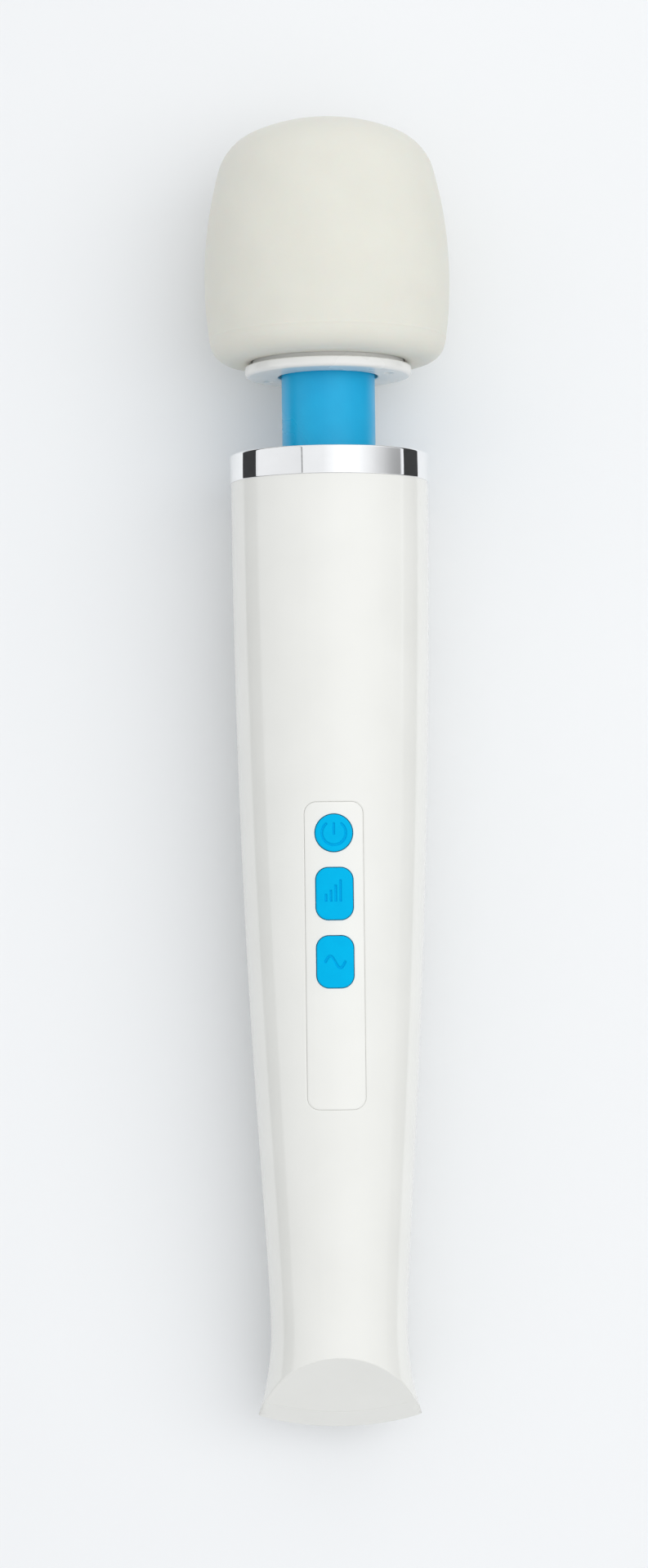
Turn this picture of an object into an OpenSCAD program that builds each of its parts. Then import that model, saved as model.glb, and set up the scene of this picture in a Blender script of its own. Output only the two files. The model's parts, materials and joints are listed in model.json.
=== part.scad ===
// Handheld wand massager: a round handle with a motor and battery, a flexible neck
// that a drive shaft runs through, and a soft head that an eccentric weight shakes.
// Each sub-part is drawn upright, tail down and buttons towards -Y, and lay_down()
// then rests the whole wand on its back: tail edge and head both touch Z = 0,
// the head points along +Y and the buttons face up.

/* [Handle] */
// Height of the handle shells' top edge above the tail
handle_top = 245; // [243:0.5:247]
// Handle radius at the top
handle_r = 25.5; // [25.2:0.1:25.8]
// Handle radius at the waist above the tail
waist_r = 17.75; // [17.5:0.05:18.5]
// Height of the waist
waist_at = 25; // [24:0.5:26]
// Radius of the flared tail edge
tail_r = 21.4; // [20.8:0.1:22]
// Wall thickness of the shells
wall = 2.4; // [2.2:0.1:2.6]

/* [Tail] */
// Height of the slanted facet's upper tip
facet_top = 21.5; // [20:0.5:23]
// Slant of the facet from the wand's axis
facet_angle = 45; // [43:1:47]
// Radius of the domed tail end
dome_r = 55; // [50:1:70]
// Thickness of the tail cap at its middle
cap_h = 5.5; // [4:0.1:6]
// Distance of the ball that rounds the cap's front bevel, in seat radii: more is flatter
bevel_blend = 8; // [2:0.5:12]

/* [Head] */
// Largest radius of the soft head
head_r = 31.75; // [31:0.25:32.5]
// Height of the head's underside
head_low = 276.2; // [276:0.1:276.5]
// Height of the widest circle
head_wide = 297.4; // [296:0.2:299]
// Height of the crown
head_top = 339.1; // [338:0.1:340]
// Radius of the barrel curve along the side
barrel_r = 106; // [100:1:112]
// Radius of the shoulder
shoulder_r = 14; // [12:0.5:16]
// Radius of the lower corner
corner_r = 6; // [5:0.5:7]
// Thickness of the silicone cover
cover_t = 3; // [2.5:0.1:3.2]
// Flats round the cover, each about as wide as the patch that it flattens to where it rests
cover_flats = 48; // [36:4:60]

/* [Neck] */
// Outer radius of the neck sleeve
neck_r = 12.1; // [11.9:0.1:12.2]
// Top of the chrome ring, where the neck comes out
ring_top = 252.2; // [252:0.1:252.5]
// Outer radius of the chrome ring
ring_r = 25.7; // [25.6:0.1:26]
// Radius of the head's base plate
plate_r = 21.6; // [21:0.1:22.5]
// Underside of the base plate
plate_low = 272.5; // [272.3:0.1:272.6]
// Thickness of the base plate
plate_h = 2.7; // [2.6:0.1:2.8]

/* [Controls] */
// Width of the control panel
panel_w = 14.8; // [14.4:0.1:15.4]
// Lower end of the control panel
panel_low = 84.7; // [84:0.1:86]
// Upper end of the control panel
panel_high = 162.5; // [161.5:0.1:163]
// Height of the power button's centre
power_at = 154.7; // [154.5:0.1:155]
// Height of the intensity button's centre
intensity_at = 139.4; // [139:0.1:139.8]
// Height of the pattern button's centre
pattern_at = 122.2; // [121.8:0.1:122.8]
// Diameter of the power button
power_d = 9.4; // [9:0.1:9.8]
// Width of the two long buttons
key_w = 9.3; // [9:0.1:9.6]
// Length of the two long buttons
key_l = 13.1; // [12.6:0.1:13.4]
// How far the buttons stand out of the handle
button_proud = 0.5; // [0.4:0.1:0.8]

/* [Hidden] */

$fn = 96;
eps = 0.01;

// Tail: outer dome, the dome where cap and shells meet, and the facet plane
cap_low = -1.4;
seat_low = cap_low + cap_h;
seat_r = dome_r + 2;
facet_tip_r = 18;
tail_edge = cap_low + dome_r - sqrt(dome_r * dome_r - tail_r * tail_r);

// Head: centres of the curves that make its outline, as [radius, height]
barrel_c = [head_r - barrel_r, head_wide];
corner_c = [
    barrel_c[0] + sqrt(pow(barrel_r - corner_r, 2) - pow(head_low + corner_r - head_wide, 2)),
    head_low + corner_r
];
shoulder_turn = 15.5;
shoulder_c = barrel_c + (barrel_r - shoulder_r) * [cos(shoulder_turn), sin(shoulder_turn)];
crown_rise = head_top - shoulder_c[1];
crown_r = (pow(shoulder_c[0], 2) + pow(crown_rise, 2) - pow(shoulder_r, 2))
    / (2 * (crown_rise - shoulder_r));
crown_c = [0, head_top - crown_r];
core_gap = 0.1;
core_t = 2.5;
core_split = 303;

// How the wand lies: the barrel curve and the tail edge touch the floor together
reach = head_wide - tail_edge;
drop = head_r - barrel_r - tail_r;
lie_angle = asin(barrel_r / norm([reach, drop])) - atan2(-drop, reach);
lift = tail_r * cos(lie_angle) - tail_edge * sin(lie_angle);
tail_end = 0.9;
slide_back = -(crown_c[1] * cos(lie_angle) + crown_r + tail_end) / 2;

// Controls
panel_corner = 3;
key_corner = 3.1;
panel_raise = 0.15;
panel_flange = [1.6, 1.2];
button_gap = 0.3;
flange_rim = 0.8;
flange_h = 1;
body_gap = 0.3;
icon_depth = 0.25;
icon_line = 0.5;
power_icon_r = 3;
power_icon_gap = 40;
bar_step = 1.22;
bar_heights = [1.8, 2.8, 4.1, 5.4];
wave_l = 5;
wave_h = 1.5;

// Circuit board, lying parallel to the axis below the panel
board_face = 11.6;
board_t = 1.6;
board_low = 76.5;
board_high = 169.6;
board_w = 22.4;
switch_side = 6;
switch_top = 15;
plunger_top = 16.3;
plunger_r = 1.7;
board_holes = [[-8, 79], [8, 79], [-8, 167.2], [8, 167.2]];
connector = [5.4, 3.2, 6];
connector_y = -board_face + board_t + connector[1] / 2;
connectors = [[0, 80], [-5, 158], [5, 158]];

// Battery: two cells end to end in a cradle behind the board
cell_r = 9.2;
cell_l = 65.2;
cell_y = 4.5;
cell_low = 31.8;
cradle_r = 10.8;
cradle_low = 30;
cradle_high = 166;

// Charging inlet in the tail cap
jack_y = 9.8;
jack_r = 4;
jack_low = 0.9;
jack_bore_r = 2.8;
jack_pin_r = 1.05;
jack_pin_low = 2.5;
jack_floor = 11;
jack_shoulder = 6.4;
jack_high = 16;
jack_back_r = 4.8;

// Screws that close the shells, as [x, height]
shell_screw_at = [[0, 24], [-14.8, 112], [14.8, 112], [0, 173.4], [-20.2, 204], [20.2, 204]];
shell_boss_r = [3.2, 2.8, 2.8, 3.2, 3.4, 3.4];
screw_r = 1.1;
pilot_r = 1.12;
cap_screw_x = 12;
cap_screw_y = 8.5;

// Motor: the can, its shaft, and the parts that turn inside it
can_r = 17.9;
can_low = 180;
can_high = 230;
can_wall = 1.2;
bell_r = can_r - 0.3;
shaft_r = 1.6;
shaft_low = can_low - 1.5;
shaft_high = 241;
run_gap = 0.05;
stack_r = 12.6;
stack = [193, 217];
winding_r = 10.5;
winding_h = [2.2, 2.6];
brush_r = 4.2;
brush = [185.4, 190.6];
magnet_r = 13.4;
magnet = [190, 222];
motor_screw_x = 9;
mount_r = 22.3;
mount_h = 3.2;
pilot_boss_r = 6;
damper_r = 22.3;
damper_h = 6;
damper_at = [187, 214];

// Neck collar: its foot, the groove that a ring of the shells enters, the deck under the
// chrome ring, the recess for the sleeve's flange and the spigot inside the spring
collar_r = 22.9;
collar_low = 238;
collar_groove_r = 21;
collar_groove = [240.3, 242.7];
deck_r = 22.3;
deck_at = 249.4;
recess_r = 14.8;
recess_at = 247.7;
spigot_r = 7.1;
spigot_top = 254;
ring_bore_r = 22.5;
ring_mouth_r = 19.5;
ring_lip = 0.9;

// Neck sleeve and the spring inside it
sleeve_in_r = 9.7;
sleeve_low = 248;
flange_r = 14.5;
flange_t = 1.5;
spring_r = 8.3;
wire_r = 0.9;
spring_low = 248.9;
spring_high = 276.2;

// Flexible drive: room round the lower hub, then the narrower room round the shaft
drive_room_r = [5.5, 4];
flex_r = 2.2;
flex = [241.4, 280.6];
hub_r = 4.5;
lower_hub = [234.4, 246.4];
upper_hub = [276.8, 284.4];
ecc_r = 3;
ecc = [281.2, 324];

// Head core: its spigot, the recess for the sleeve, the bushings and the weight's room
core_low = 270;
core_recess_at = 277.4;
core_skirt_r = 18.5;
core_skirt_at = 275.4;
core_room = [286, 313];
core_web = [284, 316];
web_r = [25, 8.5];
room_step_at = 276;
bush_r = 5;
bush_h = 7;
lower_bush_at = 285;
upper_bush_at = 314.2;
core_screw_r = 22.9;
core_screw_at = 282.4;
boss_r = 3.3;
weight_r = 16.5;
weight = [295, 311.4];
weight_hub_r = 7;
weight_screw_at = 303;

// ---------- curves ----------

function arc(c, r, from, to, n) =
    [for (i = [0:n]) let (t = from + (to - from) * i / n) c + r * [cos(t), sin(t)]];

function bezier(p, n) =
    [for (i = [0:n]) let (t = i / n, u = 1 - t)
        u * u * u * p[0] + 3 * u * u * t * p[1] + 3 * u * t * t * p[2] + t * t * t * p[3]];

function reverse(list) = [for (i = [len(list) - 1:-1:0]) list[i]];

// Flare of the tail and the long taper above it, as [radius, height]
flare = bezier([[tail_r, tail_edge], [tail_r - 2, tail_edge + 5.4],
    [waist_r, waist_at - 8], [waist_r, waist_at]], 10);
taper = bezier([[waist_r, waist_at], [waist_r, waist_at + 25],
    [handle_r, handle_top - 125], [handle_r, handle_top - 1.7]], 16);
side = concat(flare, [for (i = [1:16]) taper[i]], [[handle_r, handle_top]]);
function handle_radius(at) = lookup(at, [for (p = side) [p[1], p[0]]]);
function handle_side(inset) = [for (p = side) p - [inset, 0]];

// Points of the head's outline, moved in by inset, from the lower corner to the crown
function head_side(inset) = concat(
    arc(corner_c, corner_r - inset, -90, corner_turn, 8),
    arc(barrel_c, barrel_r - inset, corner_turn, shoulder_turn, 12),
    arc(shoulder_c, shoulder_r - inset, shoulder_turn, crown_turn, 10),
    arc(crown_c, crown_r - inset, crown_turn, 90, 8)
);
corner_turn = atan2(corner_c[1] - barrel_c[1], corner_c[0] - barrel_c[0]);
crown_turn = atan2(shoulder_c[1] - crown_c[1], shoulder_c[0]);
function above(points, height) = [for (p = points) if (p[1] > height + eps) p];
function below(points, height) = [for (p = points) if (p[1] < height - eps) p];
function barrel_radius(at, inset) =
    barrel_c[0] + sqrt(pow(barrel_r - inset, 2) - pow(at - barrel_c[1], 2));

// ---------- shared shapes ----------

module lay_down() {
    translate([0, slide_back, lift]) rotate([lie_angle - 90, 0, 0]) children();
}

module tube(r_out, r_in, low, high) {
    rotate_extrude() translate([r_in, low]) square([r_out - r_in, high - low]);
}

module rod(r, low, high) {
    translate([0, 0, low]) cylinder(r = r, h = high - low);
}

// Extrudes a flat shape drawn in X and height, from depth near to depth far in front
module forward(near, far) {
    rotate([90, 0, 0]) translate([0, 0, near]) linear_extrude(far - near) children();
}

module rounded(w, l, r) {
    union() {
        square([w - 2 * r, l], center = true);
        square([w, l - 2 * r], center = true);
        for (x = [-1, 1], y = [-1, 1])
            translate([x * (w / 2 - r), y * (l / 2 - r)]) circle(r);
    }
}

// The handle's outer form moved in by inset, without the facet
module handle_form(inset, low = 0) {
    rotate_extrude() polygon(concat([[0, low]], [[handle_side(inset)[0][0], low]],
        above(handle_side(inset), low), [[0, handle_top]]));
}

// The seat between shells and tail cap as a revolved form that fills all above it
module above_seat(step = 0) {
    edge = asin((tail_r + 4) / seat_r);
    rotate_extrude() polygon(concat(
        [for (p = arc([0, seat_low + seat_r + step], seat_r, -90, edge - 90, 8))
            [abs(p[0]) < eps ? 0 : p[0], p[1]]],
        [[tail_r + 4, handle_top + 5], [0, handle_top + 5]]));
}

// Everything in front of the slanted facet, moved in by inset
module facet_cut(inset = 0) {
    translate([0, -facet_tip_r, facet_top]) rotate([facet_angle - 90, 0, 0])
        translate([-40, -80, inset - 60]) cube([80, 160, 60]);
}

module handle_solid(inset) {
    difference() {
        handle_form(inset);
        facet_cut(inset);
    }
}

module shell_wall() {
    intersection() {
        difference() {
            handle_solid(0);
            handle_solid(wall);
        }
        above_seat();
    }
}

module half(front) {
    translate([-40, front ? -80 : 0, -10]) cube([80, 80, 280]);
}

// The inside of the handle's tail, where the back shell has no wall of its own
module tail_inside() {
    intersection() {
        handle_form(wall);
        translate([-40, -40, -10]) cube([80, 80, 10 + waist_at]);
    }
}

module inner_ring(r_in, low, high) {
    intersection() {
        tube(handle_r, r_in, low, high);
        handle_form(wall / 2);
    }
}

module shell_rings() {
    inner_ring(20, can_high - 2.6, can_high - 0.2);
    inner_ring(20, can_high + mount_h + 0.4, can_high + mount_h + 2.4);
    inner_ring(collar_groove_r + 0.2, collar_groove[0] + 0.2, collar_groove[1] - 0.2);
}

// A screw that points to +Z, its head below zero
module screw(r, head_r, head_h, length) {
    translate([0, 0, -head_h]) cylinder(r = head_r, h = head_h);
    cylinder(r = r, h = length);
}

// A round wire along a list of points, smoothed by corner cutting
function cut_corners(p) = concat([p[0]],
    [for (i = [0:len(p) - 2]) each [p[i] * 0.75 + p[i + 1] * 0.25, p[i] * 0.25 + p[i + 1] * 0.75]],
    [p[len(p) - 1]]);
function unit(v) = v / norm(v);
function heading(p, i) = unit(p[min(i + 1, len(p) - 1)] - p[max(i - 1, 0)]);

module sweep(path, r, sides, reference) {
    n = len(path);
    points = [for (i = [0:n - 1]) let (t = heading(path, i),
        u = unit(cross(t, reference)), v = cross(t, u))
        for (k = [0:sides - 1]) path[i] + r * (u * cos(360 * k / sides) + v * sin(360 * k / sides))];
    faces = concat(
        [[for (k = [0:sides - 1]) k]],
        [for (i = [0:n - 2], k = [0:sides - 1]) let (a = i * sides + k, b = i * sides + (k + 1) % sides)
            [a, a + sides, b + sides, b]],
        [[for (k = [sides - 1:-1:0]) (n - 1) * sides + k]]);
    polyhedron(points, faces, convexity = 10);
}

module lead(points) {
    sweep(cut_corners(cut_corners(points)), 0.55, 8, [1, 0.2, 0.1]);
}

// ---------- handle shells and tail ----------

module shell_bosses(front) {
    difference() {
        intersection() {
            for (i = [0:len(shell_screw_at) - 1])
                translate([shell_screw_at[i][0], 0, shell_screw_at[i][1]])
                    rotate([front ? 90 : -90, 0, 0]) cylinder(r = shell_boss_r[i], h = 30);
            handle_solid(wall / 2);
        }
        rod(can_r + 0.4, can_low - 4, can_high);
    }
}

module front_shell() {
    color("ivory") lay_down() difference() {
        union() {
            intersection() {
                union() {
                    shell_wall();
                    shell_rings();
                }
                half(true);
            }
            shell_bosses(true);
            intersection() {
                for (h = board_holes) translate([h[0], -board_face, h[1]])
                    rotate([90, 0, 0]) cylinder(r = 2, h = 20);
                handle_solid(wall / 2);
            }
        }
        translate([0, 0, (panel_low + panel_high) / 2]) forward(wall, 40)
            rounded(panel_w + 0.2, panel_high - panel_low + 0.2, panel_corner + 0.1);
        for (s = shell_screw_at) translate([s[0], 1, s[1]])
            rotate([90, 0, 0]) cylinder(r = pilot_r, h = 10);
        for (h = board_holes) translate([h[0], 0, h[1]])
            rotate([90, 0, 0]) cylinder(r = pilot_r - 0.1, h = 15.6);
    }
}

module back_shell() {
    color("ivory") lay_down() difference() {
        union() {
            intersection() {
                union() {
                    difference() {
                        shell_wall();
                        tail_inside();
                    }
                    shell_rings();
                }
                half(false);
            }
            shell_bosses(false);
            cradle_ribs();
            jack_stop();
            cap_bosses();
        }
        for (s = shell_screw_at) translate([s[0], -1, s[1]]) rotate([-90, 0, 0]) {
            cylinder(r = 1.3, h = 40);
            translate([0, 0, 6]) cylinder(r = 2.2, h = 40);
        }
        for (x = [-1, 1]) translate([x * cap_screw_x, cap_screw_y, 0]) rod(pilot_r, 0, 16);
    }
}

module cradle_ribs() {
    for (at = [45, 90, 140]) difference() {
        intersection() {
            translate([-20, 2, at]) cube([40, 30, 1.6]);
            handle_form(wall / 2);
        }
        translate([0, cell_y, at - 1]) cylinder(r = cradle_r + 0.05, h = 4);
        translate([-(cradle_r + 0.05), 0, at - 1]) cube([2 * cradle_r + 0.1, cell_y, 4]);
    }
}

// A rib behind the charging inlet that keeps a plug from pushing it inwards
module jack_stop() {
    difference() {
        intersection() {
            translate([-20, 4, jack_high + 0.1]) cube([40, 30, 1.6]);
            handle_form(wall / 2);
        }
        translate([0, jack_y, 0]) rod(3.4, 0, 30);
    }
}

module cap_bosses() {
    intersection() {
        for (x = [-1, 1]) translate([x * cap_screw_x, cap_screw_y, 0]) rod(4, seat_low, 18);
        handle_solid(wall / 2);
        above_seat();
    }
}

// The ball whose surface joins the facet to the tail's end: every point where the
// facet meets the seat dome lies on it
module bevel_ball() {
    n = [0, -cos(facet_angle), -sin(facet_angle)];
    offset_d = n * [0, -facet_tip_r, facet_top];
    seat_c = [0, 0, seat_low + seat_r];
    shift = seat_r * bevel_blend;
    centre = seat_c - shift * n;
    translate(centre) sphere(r = sqrt(centre * centre - seat_c * seat_c
        + seat_r * seat_r + 2 * shift * offset_d), $fn = 200);
}

module tail_cap() {
    skirt_top = 10;
    color("ivory") lay_down() difference() {
        union() {
            intersection() {
                difference() {
                    rotate_extrude() polygon(concat(
                        [for (p = arc([0, cap_low + dome_r], dome_r, -90, asin(tail_r / dome_r) - 90, 8))
                            [abs(p[0]) < eps ? 0 : p[0], p[1]]],
                        [for (p = side) if (p[1] > tail_edge + eps && p[1] < skirt_top) p],
                        [[0, skirt_top]]));
                    above_seat();
                }
                bevel_ball();
            }
            translate([0, jack_y, 0]) rod(5.4, 2.5, jack_shoulder);
            difference() {
                intersection() {
                    handle_form(wall + 0.1);
                    above_seat(-eps);
                    translate([0, 0, -5]) cylinder(r = 40, h = skirt_top + 5);
                }
                handle_form(wall + 1.7);
                facet_cut(wall + 0.1);
                for (x = [-1, 1]) translate([x * cap_screw_x, cap_screw_y, 0]) rod(4.2, -1, 20);
            }
        }
        translate([0, jack_y, 0]) rod(jack_r + 0.05, -5, 20);
        for (x = [-1, 1]) translate([x * cap_screw_x, cap_screw_y, 0]) {
            rod(1.3, -5, 20);
            rod(2.4, -5, 2.6);
        }
    }
}

module shell_screws() {
    color("silver") lay_down() for (s = shell_screw_at) translate([s[0], 5, s[1]])
        rotate([90, 0, 0]) screw(screw_r, 2.1, 1.6, 13.6);
}

module cap_screws() {
    color("silver") lay_down() for (x = [-1, 1]) translate([x * cap_screw_x, cap_screw_y, 2.6])
        screw(screw_r, 2.2, 1.4, 12);
}

// ---------- controls ----------

module panel_outline(rim) {
    translate([0, (panel_low + panel_high) / 2])
        rounded(panel_w + 2 * rim, panel_high - panel_low + 2 * rim, panel_corner + rim);
}

module power_outline(rim) {
    translate([0, power_at]) circle(power_d / 2 + rim);
}

module key_outline(at, rim) {
    translate([0, at]) rounded(key_w + 2 * rim, key_l + 2 * rim, key_corner + rim);
}

module control_panel() {
    back = wall + panel_flange[1];
    color("whitesmoke") lay_down() difference() {
        union() {
            intersection() {
                forward(8, 40) panel_outline(0);
                handle_form(-panel_raise);
            }
            intersection() {
                forward(8, 40) panel_outline(panel_flange[0]);
                handle_form(wall);
            }
        }
        handle_form(back);
        forward(8, 40) {
            power_outline(button_gap);
            key_outline(intensity_at, button_gap);
            key_outline(pattern_at, button_gap);
        }
    }
}

// How far in front of the axis a button's flange may reach, behind the panel
function flange_top(at, w, l) =
    sqrt(pow(handle_radius(at - l / 2 - flange_rim) - wall - panel_flange[1], 2)
        - pow(w / 2 + flange_rim, 2)) - body_gap;

// children(0) is the cap's outline, children(1) the flange's, children(2) the icon
module button(at, w, l) {
    top = flange_top(at, w, l);
    color("deepskyblue") lay_down() {
        difference() {
            union() {
                intersection() {
                    forward(top - flange_h / 2, 40) children(0);
                    handle_form(-button_proud);
                }
                forward(top - flange_h, top) children(1);
                translate([0, 0, at]) rotate([90, 0, 0]) translate([0, 0, plunger_top])
                    cylinder(r = 2, h = top - plunger_top);
            }
            difference() {
                forward(18, 40) children(2);
                handle_form(icon_depth - button_proud);
            }
        }
    }
}

module ring_part(r, line, from, to) {
    difference() {
        circle(r + line / 2);
        circle(r - line / 2);
        polygon(concat([[0, 0]], arc([0, 0], 2 * r, to, from + 360, 6)));
    }
}

module power_icon() {
    translate([0, power_at]) {
        ring_part(power_icon_r, icon_line, power_icon_gap - 270, 90 - power_icon_gap);
        translate([-icon_line / 2, -0.35]) square([icon_line, 2.9]);
    }
}

module bars_icon() {
    for (i = [0:3]) translate([(i - 1.75) * bar_step - icon_line / 2, intensity_at - 1.9])
        square([icon_line, bar_heights[i]]);
}

module wave_icon() {
    wave = [for (i = [0:24]) [wave_l * (i / 24 - 0.5), wave_h * sin(15 * i)]];
    thick = [for (i = [0:24]) let (slope = 2 * PI * wave_h / wave_l * cos(15 * i))
        icon_line / 2 * sqrt(1 + slope * slope)];
    translate([0, pattern_at]) polygon(concat(
        [for (i = [0:24]) wave[i] + [0, thick[i]]],
        [for (i = [24:-1:0]) wave[i] - [0, thick[i]]]));
}

module power_button() {
    button(power_at, power_d, power_d) {
        power_outline(0);
        power_outline(flange_rim);
        power_icon();
    }
}

module intensity_button() {
    button(intensity_at, key_w, key_l) {
        key_outline(intensity_at, 0);
        key_outline(intensity_at, flange_rim);
        bars_icon();
    }
}

module pattern_button() {
    button(pattern_at, key_w, key_l) {
        key_outline(pattern_at, 0);
        key_outline(pattern_at, flange_rim);
        wave_icon();
    }
}

module plunger(at) {
    color("dimgray") lay_down() translate([0, -plunger_top, at]) rotate([-90, 0, 0])
        cylinder(r = plunger_r, h = 2.3);
}

module power_plunger() { plunger(power_at); }

module intensity_plunger() { plunger(intensity_at); }

module pattern_plunger() { plunger(pattern_at); }

module switch_bodies() {
    color("#222222") lay_down() for (at = [power_at, intensity_at, pattern_at]) difference() {
        translate([-switch_side / 2, -switch_top, at - switch_side / 2])
            cube([switch_side, switch_top - board_face, switch_side]);
        translate([0, -switch_top - 1, at]) rotate([-90, 0, 0])
            cylinder(r = plunger_r + 0.08, h = 2.8);
    }
}

module circuit_board() {
    color("green") lay_down() difference() {
        translate([-board_w / 2, -board_face, board_low])
            cube([board_w, board_t, board_high - board_low]);
        for (h = board_holes) translate([h[0], 0, h[1]]) rotate([90, 0, 0]) cylinder(r = 1.2, h = 20);
    }
}

module status_leds() {
    color("white") lay_down() for (i = [0:3])
        translate([-0.8, -board_face - 0.7, 91 + 5 * i]) cube([1.6, 0.7, 0.9]);
}

module control_chip() {
    color("#181818") lay_down() translate([-3.5, board_t - board_face, 112]) cube([7, 1.1, 7]);
}

module wire_connectors() {
    color("white") lay_down() for (c = connectors)
        translate([c[0] - connector[0] / 2, board_t - board_face, c[1]])
            cube([connector[0], connector[1], connector[2]]);
}

module board_screws() {
    color("silver") lay_down() for (h = board_holes)
        translate([h[0], board_t - board_face, h[1]]) rotate([90, 0, 0]) screw(1, 1.8, 1, 5.4);
}

// ---------- battery and charging inlet ----------

module battery_cells() {
    color("royalblue") lay_down() for (i = [0, 1]) translate([0, cell_y, 0])
        rod(cell_r, cell_low + i * (cell_l + 0.4), cell_low + i * (cell_l + 0.4) + cell_l);
}

module battery_holder() {
    color("#303030") lay_down() difference() {
        translate([0, cell_y, 0]) rod(cradle_r, cradle_low, cradle_high);
        translate([0, cell_y, 0]) rod(cell_r + 0.1, cradle_low + 1.6, cradle_high - 1.6);
        translate([-20, cell_y - 22, cradle_low + 1.6])
            cube([40, 20, cradle_high - cradle_low - 3.2]);
    }
}

module battery_wires() {
    color("red") lay_down() for (x = [-6.1, -3.9])
        lead([[x, 1, cradle_high + 0.1], [x, 1, cradle_high + 1.8], [x, -3.6, cradle_high + 3],
            [x, -7.4, cradle_high + 2.4], [x, connector_y, cradle_high], [x, connector_y, 164.1]]);
}

module dc_jack() {
    color("#202020") lay_down() translate([0, jack_y, 0]) {
        difference() {
            union() {
                rod(jack_r, jack_low, jack_high - 2);
                rod(jack_back_r, jack_shoulder + 0.8, jack_high);
            }
            rod(jack_bore_r, jack_low - 1, jack_floor);
        }
        rod(jack_pin_r, jack_pin_low, jack_floor + 1);
    }
}

module inlet_seal() {
    color("#181818") lay_down() translate([0, jack_y, 0])
        tube(jack_back_r, jack_r + 0.05, jack_shoulder, jack_shoulder + 0.8);
}

module jack_wires() {
    color("red") lay_down() for (s = [-1, 1])
        lead([[2 * s, jack_y, 16.1], [2 * s, jack_y, 18.4], [7 * s, 3, 21], [6.6 * s, -4, 24.5],
            [4 * s, -9.4, 29], [2 * s, -9.4, 48], [1.2 * s, connector_y, 70],
            [1.2 * s, connector_y, 79.9]]);
}

// ---------- motor ----------

module motor_can() {
    color("silver") lay_down() difference() {
        union() {
            rod(can_r, can_low, can_high);
            rod(pilot_boss_r, can_high - 1, can_high + 2.6);
        }
        rod(can_r - can_wall, can_low - 1, can_high - 2);
        rod(shaft_r + run_gap, can_high - 3, can_high + 5);
        for (x = [-motor_screw_x, motor_screw_x]) translate([x, 0, 0])
            rod(1.32, can_high - 3, can_high + 1);
    }
}

module motor_magnets() {
    color("#404040") lay_down() intersection() {
        tube(can_r - can_wall - 0.05, magnet_r, magnet[0], magnet[1]);
        for (x = [-22.75, 22.75]) translate([x, 0, (can_low + can_high) / 2])
            cube([34.5, 60, can_high - can_low], center = true);
    }
}

module motor_end_bell() {
    color("#303030") lay_down() difference() {
        union() {
            rod(bell_r, can_low - 2, can_low);
            rod(can_r - can_wall - 0.05, can_low - 1, can_low + 4);
            rod(5, can_low - 2.9, can_low);
        }
        rod(shaft_r + run_gap, can_low - 1.9, can_low + 5);
    }
}

module motor_shaft() {
    color("lightgray") lay_down() rod(shaft_r, shaft_low, shaft_high);
}

module armature() {
    color("#707070") lay_down() difference() {
        rod(stack_r, stack[0], stack[1]);
        rod(shaft_r, stack[0] - 1, stack[1] + 1);
        for (i = [0:4]) rotate([0, 0, 72 * i + 36]) {
            translate([7, -3, stack[0] - 1]) cube([3.6, 6, 30]);
            translate([9, -0.8, stack[0] - 1]) cube([5, 1.6, 30]);
        }
    }
}

module armature_windings() {
    color("#b5651d") lay_down() {
        tube(winding_r, shaft_r + 1.4, stack[0] - winding_h[0], stack[0]);
        tube(winding_r, shaft_r + 1.4, stack[1], stack[1] + winding_h[1]);
    }
}

module commutator() {
    color("#c07038") lay_down() tube(brush_r, shaft_r, brush[0], brush[1]);
}

module motor_mount() {
    color("#404040") lay_down() difference() {
        rod(mount_r, can_high, can_high + mount_h);
        rod(pilot_boss_r + 0.1, can_high - 1, can_high + 6);
        for (x = [-motor_screw_x, motor_screw_x]) translate([x, 0, 0])
            rod(1.5, can_high - 1, can_high + 6);
    }
}

module motor_screws() {
    color("silver") lay_down() for (x = [-motor_screw_x, motor_screw_x])
        translate([x, 0, can_high + mount_h]) mirror([0, 0, 1])
            screw(1.3, 2.3, 1.6, mount_h + 1.8);
}

module motor_damper(at) {
    color("#282828") lay_down() tube(damper_r, can_r + 0.02, at, at + damper_h);
}

module rear_motor_damper() { motor_damper(damper_at[0]); }

module front_motor_damper() { motor_damper(damper_at[1]); }

module motor_wires() {
    color("red") lay_down() {
        lead([[3.9, connector_y, 164.1], [3.9, connector_y, 165.4], [4.4, -7.6, 170],
            [5.4, -9, 175], [5.4, -9, can_low - 2.1]]);
        lead([[6.1, connector_y, 164.1], [6.1, connector_y, 165.4], [6.4, -7.6, 170],
            [8.8, -9, 175], [8.8, -9, can_low - 2.1]]);
    }
}

// ---------- neck ----------

module chrome_ring() {
    color("silver") lay_down() rotate_extrude() polygon(concat(
        [[ring_bore_r, handle_top], [ring_r - 0.3, handle_top], [ring_r, handle_top + 0.3]],
        arc([ring_r - 0.5, ring_top - 0.5], 0.5, 0, 90, 4),
        [[ring_mouth_r, ring_top], [ring_mouth_r, ring_top - ring_lip],
            [ring_bore_r, ring_top - ring_lip]]));
}

module neck_collar() {
    room_top = recess_at - 0.3;
    color("#505050") lay_down() rotate_extrude() polygon([
        [drive_room_r[0], collar_low],
        [collar_r, collar_low],
        [collar_r, collar_groove[0]],
        [collar_groove_r, collar_groove[0]],
        [collar_groove_r, collar_groove[1]],
        [collar_r, collar_groove[1]],
        [collar_r, handle_top],
        [deck_r, handle_top],
        [deck_r, deck_at],
        [recess_r, deck_at],
        [recess_r, recess_at],
        [spigot_r, recess_at],
        [spigot_r, spigot_top],
        [drive_room_r[1], spigot_top],
        [drive_room_r[1], room_top],
        [drive_room_r[0], room_top]]);
}

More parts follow.
